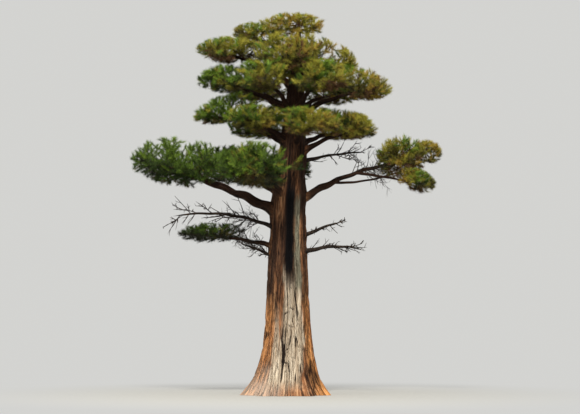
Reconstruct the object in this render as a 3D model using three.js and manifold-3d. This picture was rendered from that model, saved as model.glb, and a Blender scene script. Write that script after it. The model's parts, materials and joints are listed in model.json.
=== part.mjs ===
// An old mountain pine about nine metres tall, as it stands alone on bare rock.
// The trunk is stout, fluted and flared at its foot. Boughs carry flat-bottomed pads of needles in tiers,
// with gaps of sky between the tiers, and a few dead limbs are left low on the trunk.
// Millimetres, +Z up. The origin is the middle of the flat cut under the trunk, at ground level. The tree's
// front, with the deep groove, faces -Y, and the long bough with the separate tufts runs out along +X.
// An azimuth turns about +Z in degrees: 0 is +X, the right, 90 the back, 180 the left and 270 the front.
import * as THREE from "three";
import { mergeVertices } from "three/addons/utils/BufferGeometryUtils.js";
import Module from "manifold-3d";

const wasm = await Module();
wasm.setup();

const GAP = 0.3; // between two solids that meet
const GROWN = 0.45; // how much a limb is fattened before it cuts its neighbour
const MERGED = 0.003; // corners closer than this become one

const TRUNK = {
  height: 8500,
  radius: 520, // of the plain taper, at the ground
  point: 8800, // the height at which the plain taper would end in a point
  fullness: 1.6, // how long the taper keeps its width
  blunt: 0.8, // how quickly it closes at the top
  lean: 300, // how far the tip stands to the right of the foot
  bend: 1.5, // how late the lean comes
  sway: 40, // how far the trunk bows to each side on its way up
  bows: 1.5, // how many times it bows to the right and left
  sides: 36,
  rings: 17,
  crowding: 1.35, // how much closer together the rings are in the flare
};
const FLARE = { reach: 550, height: 600, between: 0.34, width: 19 };
const ROOTS = [
  { azimuth: 184, reach: 1 },
  { azimuth: 354, reach: 1 },
  { azimuth: 226, reach: 0.66 },
  { azimuth: 262, reach: 0.5 },
  { azimuth: 312, reach: 0.7 },
  { azimuth: 42, reach: 0.82 },
  { azimuth: 92, reach: 0.7 },
  { azimuth: 138, reach: 0.9 },
];
const FLUTES = { count: 5, depth: 0.05, azimuth: 20 };
const GROOVE = { azimuth: 280, width: 13, depth: 120, low: 2800, high: 5000, ease: 500 };

// Each row is a pad of foliage on a bough of its own. The bough leaves the trunk at the height fork, or the
// bough that from names at the share along of its length, and enters the pad near inner. The pad reaches out
// to outer, and both are measured level from the trunk's axis. level is the height of the pad's widest
// section, with top above it and bottom below it. width is half of the pad's breadth, and tilt lifts the
// pad's far end, in degrees. girth is the bough's radius where it starts, and arch is how much of its climb
// is done half way.
const PADS = [
  {
    name: "top_left", azimuth: 176, fork: 7750, inner: 350, outer: 1560, level: 8460, width: 680,
    top: 300, bottom: 360, tilt: 4, girth: 42,
  },
  {
    name: "upper_left", azimuth: 181, fork: 7150, inner: 550, outer: 2420, level: 8070, width: 800,
    top: 340, bottom: 340, tilt: 2, girth: 58,
  },
  {
    name: "upper_right", azimuth: 352, fork: 7250, inner: 20, outer: 1500, level: 7980, width: 860,
    top: 360, bottom: 340, tilt: -27, girth: 58,
  },
  {
    name: "upper_front", azimuth: 258, fork: 7200, inner: 150, outer: 1720, level: 7920, width: 1120,
    top: 540, bottom: 520, tilt: -6, girth: 58,
  },
  {
    name: "upper_back", azimuth: 82, fork: 7300, inner: 200, outer: 1800, level: 7950, width: 1050,
    top: 520, bottom: 500, tilt: -6, girth: 58,
  },
  {
    name: "middle_left", azimuth: 184, fork: 6500, inner: 600, outer: 2360, level: 7370, width: 800,
    top: 400, bottom: 340, tilt: 0, girth: 70,
  },
  {
    name: "middle_right", azimuth: 356, fork: 6500, inner: 500, outer: 2280, level: 7300,
    width: 900, top: 440, bottom: 380, tilt: -12, girth: 72,
  },
  {
    name: "middle_front_left", azimuth: 239, fork: 6450, inner: 200, outer: 2050, level: 7400,
    width: 1000, top: 460, bottom: 360, tilt: -3, girth: 66,
  },
  {
    name: "middle_front_right", azimuth: 293, fork: 6550, inner: 200, outer: 2100, level: 7380,
    width: 1020, top: 500, bottom: 400, tilt: -6, girth: 66,
  },
  {
    name: "middle_back_left", azimuth: 126, fork: 6500, inner: 250, outer: 2250, level: 7300,
    width: 920, top: 480, bottom: 380, tilt: -5, girth: 66,
  },
  {
    name: "middle_back_right", azimuth: 56, fork: 6600, inner: 250, outer: 2300, level: 7270,
    width: 940, top: 480, bottom: 400, tilt: -8, girth: 66,
  },
  {
    name: "lower_left", azimuth: 178, fork: 5900, inner: 600, outer: 2440, level: 6680, width: 800,
    top: 400, bottom: 300, tilt: -12, girth: 66,
  },
  {
    name: "lower_front_left", azimuth: 224, fork: 5800, inner: 250, outer: 2050, level: 6420,
    width: 780, top: 350, bottom: 320, tilt: 2, girth: 60,
  },
  {
    name: "lower_front", azimuth: 286, fork: 5750, inner: 250, outer: 1900, level: 6340, width: 950,
    top: 380, bottom: 340, tilt: -4, girth: 66,
  },
  {
    name: "lower_right", azimuth: 346, fork: 5500, inner: 450, outer: 2000, level: 6300, width: 760,
    top: 390, bottom: 330, tilt: -10, girth: 70,
  },
  {
    name: "lower_back_right", azimuth: 48, fork: 5750, inner: 400, outer: 2450, level: 6330,
    width: 900, top: 360, bottom: 300, tilt: -4, girth: 74,
  },
  {
    name: "lower_back_left", azimuth: 122, fork: 5650, inner: 400, outer: 2350, level: 6350,
    width: 900, top: 360, bottom: 300, tilt: -4, girth: 74,
  },
  {
    name: "left_outer", azimuth: 180, fork: 4150, inner: 1300, outer: 3880, level: 5460, width: 1050,
    top: 580, bottom: 620, tilt: 5, girth: 135, arch: 0.6,
  },
  {
    name: "left_front", azimuth: 235, fork: 4400, inner: 250, outer: 2350, level: 5350, width: 1100,
    top: 570, bottom: 580, tilt: 0, girth: 95,
  },
  {
    name: "left_back", azimuth: 143, fork: 4500, inner: 450, outer: 2850, level: 5420, width: 940,
    top: 500, bottom: 500, tilt: 2, girth: 100,
  },
  {
    name: "low_back", azimuth: 100, fork: 4700, inner: 450, outer: 2750, level: 5330, width: 840,
    top: 430, bottom: 380, tilt: 2, girth: 90,
  },
  {
    name: "tuft_upper", azimuth: 2, fork: 4400, inner: 1940, outer: 3180, level: 5580, width: 660,
    top: 540, bottom: 640, tilt: 0, girth: 92,
  },
  {
    name: "tuft_outer", azimuth: 9, from: "tuft_upper", along: 0.36, inner: 2860, outer: 3580,
    level: 5720, width: 460, top: 300, bottom: 300, tilt: -16, girth: 34, arch: -0.1,
  },
  {
    name: "tuft_lower", azimuth: 354, from: "tuft_upper", along: 0.55, inner: 2420, outer: 3420,
    level: 5020, width: 480, top: 300, bottom: 300, tilt: -18, girth: 42, arch: 0.3,
  },
  {
    name: "small_left", azimuth: 181, fork: 3380, inner: 950, outer: 2640, level: 3800, width: 460,
    top: 250, bottom: 250, tilt: -2, girth: 62,
  },
];
// The pad on the trunk's own tip.
const CROWN = { name: "crown_top", offset: -180, level: 8550, along: 940, width: 920, top: 430, bottom: 500 };

// Bare limbs, with the same meanings. reach is the level distance to the tip, and end the height of the tip.
const DEAD_LIMBS = [
  {
    name: "dead_left_upper", azimuth: 192, fork: 3740, reach: 2750, end: 4170, girth: 48, arch: 1.6,
    twigs: 5,
  },
  {
    name: "dead_left_lower", azimuth: 186, fork: 3080, reach: 1080, end: 3540, girth: 44, arch: 0.5,
    twigs: 3,
  },
  {
    name: "dead_right_upper", azimuth: 356, fork: 3500, reach: 1200, end: 4040, girth: 52,
    arch: 0.7, twigs: 3,
  },
  {
    name: "dead_right_lower", azimuth: 350, fork: 3180, reach: 1640, end: 3440, girth: 58,
    arch: 1.5, twigs: 5,
  },
  {
    name: "dead_right_high", azimuth: 8, fork: 5380, reach: 1740, end: 5700, girth: 40, arch: 0.9,
    twigs: 4,
  },
];

const BOUGH = { sides: 7, steps: 4, tip: 0.22, arch: 0.88, bend: 0.45 };
const STEM = { sides: 5, steps: 2, enter: 0.12, end: 0.78, drop: 0.15 };
// spacing is along the stem, and first the depth in its pad at which the stem starts to branch. near and far
// are a twig's turn away from the stem at its tip and at its foot, low and high its lift, all in degrees, and
// sway is how much the turn strays. reach is the depth that a twig grows to.
const TWIG = {
  sides: 3,
  spacing: 440,
  first: 0.8,
  last: 0.97,
  girth: 0.5,
  least: 10,
  tip: 6,
  reach: 0.62,
  near: 34,
  far: 78,
  sway: 24,
  low: -6,
  high: 30,
};
// tooth, notch and middle are shares of a spray's length: where its side teeth stand, where the notches
// between the teeth are, and where it is thickest.
const SPRAY = {
  longest: 620,
  shortest: 160,
  width: 0.8,
  thick: 0.09,
  tooth: 0.78,
  notch: 0.62,
  notchWidth: 0.42,
  middle: 0.36,
  sunk: 0.14,
  reach: 0.985,
};
const TIP_SPRAY = { sway: 12, lift: 6 }; // on the stem's own tip
const TOP_SPRAYS = { count: 4, lift: 0.2, depth: 0.4, low: 40, high: 85 }; // on the upper side of the core
const CORE = { plan: 0.74, top: 0.74, bottom: 0.7, lump: 0.14, detail: 1 };
const DEAD_TWIG = {
  first: 0.45,
  last: 0.92,
  out: 0.4,
  down: -0.9,
  up: 0.6,
  girth: 0.55,
  reach: 0.26,
  shortest: 0.6,
  tip: 4,
};
const CROWN_STEM = { reach: 0.9, foot: 0.9, tip: 0.3 };
const FARTHEST = 3000; // more than the room in any pad
const HALVINGS = 20; // enough to find a length in that room to a hundredth of a millimetre
const STRIDE = 0.005; // of a curve's length, in a search along it
const EDGE = 1.02; // the depth beyond which a point is outside its pad

// The Park and Miller generator, started from the letters of a name.
const STREAM = { modulus: 2147483647, multiplier: 16807, letter: 131, warm: 5 };

const radians = THREE.MathUtils.degToRad;
const lerp = THREE.MathUtils.lerp;
const UP = new THREE.Vector3(0, 0, 1);

// The level direction of an azimuth.
function heading(azimuth) {
  return new THREE.Vector3(Math.cos(radians(azimuth)), Math.sin(radians(azimuth)), 0);
}

// A stream of numbers from 0 to 1 that depends only on the name it is made for.
function stream(name) {
  let state = 1;
  for (const letter of name) state = (state * STREAM.letter + letter.charCodeAt(0)) % STREAM.modulus;
  const next = () => {
    state = (state * STREAM.multiplier) % STREAM.modulus;
    return state / STREAM.modulus;
  };
  for (let warm = 0; warm < STREAM.warm; warm += 1) next();
  return next;
}

// How close an azimuth is to another, from 1 where they meet down to 0.
function nearness(azimuth, centre, width) {
  const apart = ((azimuth - centre + 540) % 360) - 180;
  return Math.exp(-((apart / width) ** 2) / 2);
}

// The middle of the trunk at a height.
function trunkAxis(height) {
  const share = height / TRUNK.height;
  return new THREE.Vector3(
    TRUNK.lean * share ** TRUNK.bend + TRUNK.sway * Math.sin(share * TRUNK.bows * 2 * Math.PI) * (1 - share),
    TRUNK.sway * Math.sin(share * 2 * Math.PI),
    height,
  );
}

// The trunk's radius at a height and azimuth, with its root flare, flutes and groove.
function trunkRadius(height, azimuth) {
  const left = Math.max(0, 1 - (height / TRUNK.point) ** TRUNK.fullness);
  const taper = TRUNK.radius * left ** TRUNK.blunt;
  const root = ROOTS.map(({ azimuth: at, reach }) => reach * nearness(azimuth, at, FLARE.width));
  const flare = FLARE.reach * Math.max(FLARE.between, ...root) * Math.exp(-height / FLARE.height);
  const flutes = 1 + FLUTES.depth * Math.cos(radians(FLUTES.count * (azimuth - FLUTES.azimuth)));
  const rising = THREE.MathUtils.smoothstep(height, GROOVE.low - GROOVE.ease, GROOVE.low + GROOVE.ease);
  const ending = THREE.MathUtils.smoothstep(height, GROOVE.high - GROOVE.ease, GROOVE.high + GROOVE.ease);
  const groove = GROOVE.depth * nearness(azimuth, GROOVE.azimuth, GROOVE.width) * rising * (1 - ending);
  return taper * flutes + flare - groove;
}

// A closed solid from rings of points that all turn the same way about the line from the first to the last.
function loft(rings) {
  const sides = rings[0].length;
  const faces = [];
  rings.slice(1).forEach((_, k) => {
    for (let i = 0; i < sides; i += 1) {
      const a = k * sides + i;
      const b = k * sides + ((i + 1) % sides);
      faces.push(a, b, b + sides, a, b + sides, a + sides);
    }
  });
  const last = (rings.length - 1) * sides;
  for (let i = 1; i < sides - 1; i += 1) faces.push(0, i + 1, i, last, last + i, last + i + 1);
  return solid(rings.flat(), faces);
}

// A manifold solid from points and the corner numbers of its triangles.
function solid(points, faces) {
  return new wasm.Manifold(
    new wasm.Mesh({
      numProp: 3,
      vertProperties: new Float32Array(points.flatMap((p) => [p.x, p.y, p.z])),
      triVerts: new Uint32Array(faces),
    }),
  );
}

function pointsOf(geometry) {
  const corners = geometry.attributes.position;
  return Array.from({ length: corners.count }, (_, i) => new THREE.Vector3().fromBufferAttribute(corners, i));
}

// Two directions square to a tangent: the first as level as it can be.
function across(tangent) {
  const side = new THREE.Vector3().crossVectors(tangent, UP);
  if (side.length() < 0.1) side.set(0, 1, 0);
  side.normalize();
  return [side, new THREE.Vector3().crossVectors(side, tangent)];
}

// A round limb along a curve, between two shares of it. radiusAt gives its radius at a share.
function sweep(curve, from, to, radiusAt, sides, steps) {
  const rings = [];
  for (let k = 0; k <= steps; k += 1) {
    const share = lerp(from, to, k / steps);
    const centre = curve.getPoint(share);
    const [side, rise] = across(curve.getTangent(share));
    const ring = [];
    for (let i = 0; i < sides; i += 1) {
      const turn = (-2 * Math.PI * i) / sides;
      ring.push(
        centre
          .clone()
          .addScaledVector(side, radiusAt(share) * Math.cos(turn))
          .addScaledVector(rise, radiusAt(share) * Math.sin(turn)),
      );
    }
    rings.push(ring);
  }
  return loft(rings);
}

function trunkSolid(grown) {
  const rings = [];
  for (let k = 0; k < TRUNK.rings; k += 1) {
    const height = (TRUNK.height + grown) * (k / (TRUNK.rings - 1)) ** TRUNK.crowding;
    const ring = [];
    for (let i = 0; i < TRUNK.sides; i += 1) {
      const azimuth = (360 * i) / TRUNK.sides;
      ring.push(trunkAxis(height).addScaledVector(heading(azimuth), trunkRadius(height, azimuth) + grown));
    }
    rings.push(ring);
  }
  return loft(rings);
}

// A limb's middle line, from where it forks to its end.
function limbCurve(start, end, arch) {
  const control = start.clone().lerp(end, BOUGH.bend);
  control.z = lerp(start.z, end.z, arch);
  return new THREE.QuadraticBezierCurve3(start, control, end);
}

// The room that a pad keeps to: a lens with its own height above and below its middle.
function padSpace(pad) {
  const out = heading(pad.azimuth);
  const tilt = radians(pad.tilt);
  const centre = trunkAxis(pad.level).addScaledVector(out, (pad.inner + pad.outer) / 2);
  return {
    centre,
    along: out.clone().multiplyScalar(Math.cos(tilt)).addScaledVector(UP, Math.sin(tilt)),
    across: new THREE.Vector3().crossVectors(UP, out),
    rise: UP.clone().multiplyScalar(Math.cos(tilt)).addScaledVector(out, -Math.sin(tilt)),
    length: (pad.outer - pad.inner) / 2,
    width: pad.width,
    top: pad.top,
    bottom: pad.bottom,
  };
}

function crownSpace() {
  return {
    centre: trunkAxis(CROWN.level).add(new THREE.Vector3(CROWN.offset, 0, 0)),
    along: new THREE.Vector3(1, 0, 0),
    across: new THREE.Vector3(0, 1, 0),
    rise: UP.clone(),
    length: CROWN.along,
    width: CROWN.width,
    top: CROWN.top,
    bottom: CROWN.bottom,
    allRound: true, // its stem stands upright, so twigs go out to every side
  };
}

// 0 in the middle of a space and 1 on its edge.
function depthIn(space, point) {
  const from = point.clone().sub(space.centre);
  const rise = from.dot(space.rise);
  return Math.hypot(
    from.dot(space.along) / space.length,
    from.dot(space.across) / space.width,
    rise / (rise > 0 ? space.top : space.bottom),
  );
}

// How far it is from a point, in a direction, to the given depth of a space, up to most.
function roomTo(space, point, direction, depth, most) {
  let near = 0;
  let far = most;
  if (depthIn(space, point) >= depth) return 0;
  if (depthIn(space, point.clone().addScaledVector(direction, most)) <= depth) return most;
  for (let halving = 0; halving < HALVINGS; halving += 1) {
    const middle = (near + far) / 2;
    if (depthIn(space, point.clone().addScaledVector(direction, middle)) < depth) near = middle;
    else far = middle;
  }
  return near;
}

// A direction from its turn about the space's rise and its lift out of the space's level plane, in degrees.
function directionIn(space, turn, lift) {
  return space.along
    .clone()
    .multiplyScalar(Math.cos(radians(turn)) * Math.cos(radians(lift)))
    .addScaledVector(space.across, Math.sin(radians(turn)) * Math.cos(radians(lift)))
    .addScaledVector(space.rise, Math.sin(radians(lift)));
}

// The corners of a spray of needles, a blade with three teeth: its root first, and its faces' middles last.
function sprayCorners(root, direction, length, roll) {
  const [level, rise] = across(direction);
  const side = level.multiplyScalar(Math.cos(roll)).addScaledVector(rise, Math.sin(roll));
  const face = new THREE.Vector3().crossVectors(direction, side);
  const at = (out, aside, lift) =>
    root
      .clone()
      .addScaledVector(direction, length * out)
      .addScaledVector(side, length * aside)
      .addScaledVector(face, length * lift);
  const half = SPRAY.width / 2;
  const notch = half * SPRAY.notchWidth;
  return [
    at(0, 0, 0),
    at(SPRAY.tooth, half, 0),
    at(SPRAY.notch, notch, 0),
    at(1, 0, 0),
    at(SPRAY.notch, -notch, 0),
    at(SPRAY.tooth, -half, 0),
    at(SPRAY.middle, 0, SPRAY.thick / 2),
    at(SPRAY.middle, 0, -SPRAY.thick / 2),
  ];
}

function spraySolid(corners) {
  const faces = [];
  for (let i = 0; i < 6; i += 1) faces.push((i + 1) % 6, i, 6, i, (i + 1) % 6, 7);
  return solid(corners, faces);
}

// The lumpy heart of a pad, smaller than its space.
function coreSolid(name, space, grown) {
  const draw = stream(`${name} core`);
  const ball = new THREE.IcosahedronGeometry(1, CORE.detail);
  ball.deleteAttribute("normal");
  ball.deleteAttribute("uv");
  const round = mergeVertices(ball);
  const points = pointsOf(round).map((p) => {
    p.multiplyScalar(1 - CORE.lump + 2 * CORE.lump * draw());
    const height = p.z > 0 ? space.top * CORE.top : space.bottom * CORE.bottom;
    return space.centre
      .clone()
      .addScaledVector(space.along, p.x * (space.length * CORE.plan + grown))
      .addScaledVector(space.across, p.y * (space.width * CORE.plan + grown))
      .addScaledVector(space.rise, p.z * (height + grown));
  });
  return solid(points, Array.from(round.index.array));
}

// The twigs and sprays of a pad, worked out from its space and its stem.
function growth(space, curve, enter, name) {
  const draw = stream(name);
  const twigs = [];
  const sprays = [];
  const spray = (root, direction) => {
    const length = roomTo(space, root, direction, SPRAY.reach, SPRAY.longest) / (1 - SPRAY.sunk);
    const roll = (draw() - 0.5) * Math.PI;
    const sunk = root.clone().addScaledVector(direction, -SPRAY.sunk * length);
    sprays.push({ root: sunk, direction, length, roll });
  };
  let first = enter;
  while (depthIn(space, curve.getPoint(first)) > TWIG.first) first += STRIDE;
  const pairs = Math.max(2, Math.round((2 * space.length) / TWIG.spacing));
  for (let k = 0; k < 2 * pairs; k += 1) {
    const share = lerp(first, TWIG.last, k / (2 * pairs));
    const start = curve.getPoint(share);
    const hand = k % 2 ? 1 : -1;
    const aside = space.allRound ? (360 * k) / (2 * pairs) : hand * lerp(TWIG.far, TWIG.near, share);
    const turn = aside + TWIG.sway * (draw() - 0.5);
    const direction = directionIn(space, turn, lerp(TWIG.low, TWIG.high, draw()));
    const room = roomTo(space, start, direction, TWIG.reach, FARTHEST);
    twigs.push({ start, direction, length: room, share });
    spray(start.clone().addScaledVector(direction, room), direction);
  }
  spray(curve.getPoint(1), directionIn(space, TIP_SPRAY.sway * (draw() - 0.5), TIP_SPRAY.lift));
  for (let k = 0; k < TOP_SPRAYS.count; k += 1) {
    const turn = (360 * (k + draw())) / TOP_SPRAYS.count;
    const outward = directionIn(space, turn, 0);
    const spot = space.centre
      .clone()
      .addScaledVector(space.rise, space.top * TOP_SPRAYS.lift)
      .addScaledVector(outward, roomTo(space, space.centre, outward, TOP_SPRAYS.depth, FARTHEST));
    spray(spot, directionIn(space, turn, lerp(TOP_SPRAYS.low, TOP_SPRAYS.high, draw())));
  }
  return { twigs, sprays };
}

const spaces = new Map(PADS.map((pad) => [pad.name, padSpace(pad)]));
spaces.set(CROWN.name, crownSpace());

// True if a point is in a space and deeper in it than in any other.
function owns(space, point) {
  const own = depthIn(space, point);
  const others = Array.from(spaces.values()).filter((other) => other !== space);
  return own <= EDGE && others.every((other) => depthIn(other, point) > own);
}

// The stem that carries on from the trunk's tip into the crown's top.
function crownStem() {
  const start = trunkAxis(TRUNK.height + GAP);
  const end = start.clone().addScaledVector(UP, CROWN.top * CROWN_STEM.reach);
  const radiusAt = (share) => trunkRadius(TRUNK.height, 0) * lerp(CROWN_STEM.foot, CROWN_STEM.tip, share);
  return { curve: new THREE.LineCurve3(start, end), enter: 0, radiusAt };
}

const trunk = trunkSolid(0);
const trunkGrown = trunkSolid(GROWN);
const limbs = new Map();

// The largest piece of a solid, without any scraps that a cut left loose.
function largest(body) {
  return body.decompose().sort((a, b) => b.volume() - a.volume())[0];
}

// The bare part of a bough, from inside its parent to where it enters its pad.
function addBough(pad, space) {
  const parent = limbs.get(pad.from);
  const start = parent ? parent.curve.getPoint(pad.along) : trunkAxis(pad.fork);
  const end = space.centre
    .clone()
    .addScaledVector(space.along, space.length * (2 * STEM.end - 1))
    .addScaledVector(space.rise, -space.bottom * STEM.drop);
  const curve = limbCurve(start, end, pad.arch ?? BOUGH.arch);
  const out = heading(pad.azimuth);
  const mouth = lerp(pad.inner, pad.outer, STEM.enter) + trunkAxis(pad.level).dot(out);
  let enter = 0;
  while (curve.getPoint(enter).dot(out) < mouth) enter += STRIDE;
  const radiusAt = (share) => pad.girth * lerp(1, BOUGH.tip, share);
  const past = enter + GAP / curve.getLength();
  limbs.set(pad.name, {
    curve,
    radiusAt,
    enter: past,
    solid: largest(
      sweep(curve, 0, enter, radiusAt, BOUGH.sides, BOUGH.steps).subtract(parent ? parent.grown : trunkGrown),
    ),
    grown: sweep(curve, 0, past, (share) => radiusAt(share) + GROWN, BOUGH.sides, BOUGH.steps),
  });
}

// A bare limb with short twigs fused to it.
function addDeadLimb(row) {
  const start = trunkAxis(row.fork);
  const end = trunkAxis(row.end).addScaledVector(heading(row.azimuth), row.reach);
  const curve = limbCurve(start, end, row.arch);
  const draw = stream(row.name);
  const pieces = (extra) => {
    const radiusAt = (share) => row.girth * lerp(1, BOUGH.tip, share) + extra;
    return sweep(curve, 0, 1, radiusAt, BOUGH.sides, BOUGH.steps);
  };
  let body = pieces(0);
  let grown = pieces(GROWN);
  for (let k = 0; k < row.twigs; k += 1) {
    const share = lerp(DEAD_TWIG.first, DEAD_TWIG.last, k / (row.twigs - 1));
    const tangent = curve.getTangent(share);
    const [side, rise] = across(tangent);
    const direction = tangent
      .clone()
      .addScaledVector(side, (k % 2 ? 1 : -1) * lerp(DEAD_TWIG.out, 1, draw()))
      .addScaledVector(rise, lerp(DEAD_TWIG.down, DEAD_TWIG.up, draw()))
      .normalize();
    const length = row.reach * DEAD_TWIG.reach * lerp(DEAD_TWIG.shortest, 1, draw());
    const base = curve.getPoint(share);
    const line = new THREE.LineCurve3(base, base.clone().addScaledVector(direction, length));
    const thick = row.girth * lerp(1, BOUGH.tip, share) * DEAD_TWIG.girth;
    const twig = (extra) => sweep(line, 0, 1, (at) => lerp(thick, DEAD_TWIG.tip, at) + extra, TWIG.sides, 1);
    body = body.add(twig(0));
    grown = grown.add(twig(GROWN));
  }
  limbs.set(row.name, { solid: largest(body.subtract(trunkGrown)), grown });
}

// True if two solids share any room.
function touches(one, other) {
  const [a, b] = [one.boundingBox(), other.boundingBox()];
  if (a.min.some((low, k) => low > b.max[k] || b.min[k] > a.max[k])) return false;
  const shared = one.intersect(other);
  const found = !shared.isEmpty();
  shared.delete();
  return found;
}

// The hearts of all the pads, each cut clear of the limbs and of the hearts before it.
function coresOf(obstacles) {
  const cutters = [...obstacles];
  return new Map(
    Array.from(spaces, ([name, space]) => {
      let core = coreSolid(name, space, 0);
      for (const other of cutters) if (touches(core, other)) core = core.subtract(other);
      cutters.push(coreSolid(name, space, GROWN));
      return [name, largest(core)];
    }),
  );
}

function geometryOf(body) {
  const { vertProperties, triVerts } = body.getMesh();
  const geometry = new THREE.BufferGeometry();
  geometry.setAttribute("position", new THREE.BufferAttribute(vertProperties, 3));
  geometry.setIndex(new THREE.BufferAttribute(triVerts, 1));
  return geometry;
}

// The skin of a solid once corners that all but meet are merged and the triangles closed by this are gone.
function skinOf(body) {
  const skin = mergeVertices(geometryOf(body), MERGED);
  const corners = skin.index.array;
  const kept = [];
  for (let i = 0; i < corners.length; i += 3) {
    const triangle = corners.slice(i, i + 3);
    if (new Set(triangle).size === 3) kept.push(...triangle);
  }
  return skin.setIndex(kept);
}

// True if the skin of a solid is one closed surface that nowhere meets itself along an edge.
function isSound(body) {
  const skin = skinOf(body);
  const corners = Array.from(skin.index.array);
  const edges = new Set();
  for (let i = 0; i < corners.length; i += 3) {
    for (let k = 0; k < 3; k += 1) edges.add(`${corners[i + k]} ${corners[i + ((k + 1) % 3)]}`);
  }
  if (edges.size < corners.length) return false;
  const whole = solid(pointsOf(skin), corners);
  const bodies = whole.decompose();
  [whole, ...bodies].forEach((one) => one.delete());
  return bodies.length === 1;
}

// A pad of foliage: its stem, core, twigs and sprays in one solid. Twigs and sprays that would touch a limb,
// another core or a pad made before are left out.
function padSolid(name, limb, cores, obstacles) {
  const space = spaces.get(name);
  const { twigs, sprays } = growth(space, limb.curve, limb.enter, name);
  const others = Array.from(cores).filter(([owner]) => owner !== name);
  const near = [...obstacles, ...others.map(([, core]) => core)];
  const clear = (piece) => !near.some((other) => touches(piece, other));
  let body = sweep(limb.curve, limb.enter, 1, limb.radiusAt, STEM.sides, STEM.steps).add(cores.get(name));
  const join = (piece) => {
    const joined = largest(body.add(piece));
    if (isSound(joined)) body = joined;
  };
  for (const { start, direction, length, share } of twigs) {
    const line = new THREE.LineCurve3(start, start.clone().addScaledVector(direction, length));
    const thick = Math.max(TWIG.least, limb.radiusAt(share) * TWIG.girth);
    const twig = sweep(line, 0, 1, (at) => lerp(thick, TWIG.tip, at), TWIG.sides, 1);
    if (owns(space, line.v2) && clear(twig)) join(twig);
  }
  for (const { root, direction, length, roll } of sprays) {
    if (length < SPRAY.shortest) continue;
    const corners = sprayCorners(root, direction, length, roll);
    const blade = spraySolid(corners);
    if (corners.every((corner) => owns(space, corner)) && clear(blade)) join(blade);
  }
  return body;
}

for (const pad of PADS) addBough(pad, spaces.get(pad.name));
for (const row of DEAD_LIMBS) addDeadLimb(row);

const bark = new THREE.MeshStandardMaterial({ color: 0x8f6041, roughness: 0.95, metalness: 0 });
const deadWood = new THREE.MeshStandardMaterial({ color: 0x6e6358, roughness: 0.9, metalness: 0 });
const needles = new THREE.MeshStandardMaterial({ color: 0x4f5a20, roughness: 0.8, metalness: 0 });

function meshOf(name, body, material) {
  const mesh = new THREE.Mesh(skinOf(body), material);
  mesh.name = name;
  return mesh;
}

const tree = new THREE.Group();
tree.add(meshOf("trunk", trunk, bark));
for (const pad of PADS) tree.add(meshOf(`bough_${pad.name}`, limbs.get(pad.name).solid, bark));
for (const row of DEAD_LIMBS) tree.add(meshOf(row.name, limbs.get(row.name).solid, deadWood));
const obstacles = [trunkGrown, ...Array.from(limbs.values(), (limb) => limb.grown)];
const cores = coresOf(obstacles);
limbs.set(CROWN.name, crownStem());
for (const name of spaces.keys()) {
  const body = padSolid(name, limbs.get(name), cores, obstacles);
  obstacles.push(body);
  tree.add(meshOf(`foliage_${name}`, body, needles));
}

export default tree;
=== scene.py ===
# An old mountain pine, dressed. Bark with relief covers the trunk and boughs, and twigs and needles grow on
# from the limbs by the rule that made the solids, carried on to finer twigs within the same room.
# Metres and degrees. An azimuth turns about +Z: 0 is +X, the right, 90 the back and 270 the front.
import json
import math
from collections import namedtuple
from types import SimpleNamespace as Values

import bpy
import numpy as np
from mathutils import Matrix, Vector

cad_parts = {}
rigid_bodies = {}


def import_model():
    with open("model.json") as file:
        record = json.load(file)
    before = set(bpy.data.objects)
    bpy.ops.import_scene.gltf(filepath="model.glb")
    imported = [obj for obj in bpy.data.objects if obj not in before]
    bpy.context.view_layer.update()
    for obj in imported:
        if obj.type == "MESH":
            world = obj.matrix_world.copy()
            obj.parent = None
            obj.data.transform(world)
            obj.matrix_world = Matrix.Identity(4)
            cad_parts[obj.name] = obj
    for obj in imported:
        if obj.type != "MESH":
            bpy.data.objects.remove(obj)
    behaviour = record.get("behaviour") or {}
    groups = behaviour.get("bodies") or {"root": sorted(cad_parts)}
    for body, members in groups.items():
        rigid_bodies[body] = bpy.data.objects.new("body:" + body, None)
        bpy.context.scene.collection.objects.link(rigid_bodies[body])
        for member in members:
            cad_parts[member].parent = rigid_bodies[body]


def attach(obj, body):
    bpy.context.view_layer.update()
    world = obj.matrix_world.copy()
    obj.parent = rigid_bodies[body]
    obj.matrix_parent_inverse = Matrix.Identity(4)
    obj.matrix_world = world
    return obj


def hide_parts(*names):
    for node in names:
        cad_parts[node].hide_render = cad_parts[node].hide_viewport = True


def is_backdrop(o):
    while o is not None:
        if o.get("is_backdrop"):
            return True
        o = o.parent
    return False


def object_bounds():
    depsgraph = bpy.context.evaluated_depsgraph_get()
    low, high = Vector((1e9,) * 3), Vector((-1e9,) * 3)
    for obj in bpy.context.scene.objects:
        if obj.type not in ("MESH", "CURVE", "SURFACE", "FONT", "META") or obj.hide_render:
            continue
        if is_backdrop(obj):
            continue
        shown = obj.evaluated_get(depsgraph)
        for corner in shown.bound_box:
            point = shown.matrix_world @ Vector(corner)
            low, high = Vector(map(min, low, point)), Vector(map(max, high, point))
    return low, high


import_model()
cad_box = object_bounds()

# The solids' rule, with the same values. ROOTS gives each root's azimuth, and its reach beside the longest.
TRUNK = Values(height=8.5, radius=0.52, point=8.8, fullness=1.6, blunt=0.8, lean=0.3, bend=1.5, sway=0.04,
               bows=1.5)
FLARE = Values(reach=0.55, height=0.6, between=0.34, width=19)
ROOTS = {184: 1, 354: 1, 226: 0.66, 262: 0.5, 312: 0.7, 42: 0.82, 92: 0.7, 138: 0.9}
FLUTES = Values(count=5, depth=0.05, azimuth=20)
GROOVE = Values(azimuth=280, width=13, depth=0.12, low=2.8, high=5.0, ease=0.5)

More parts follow.
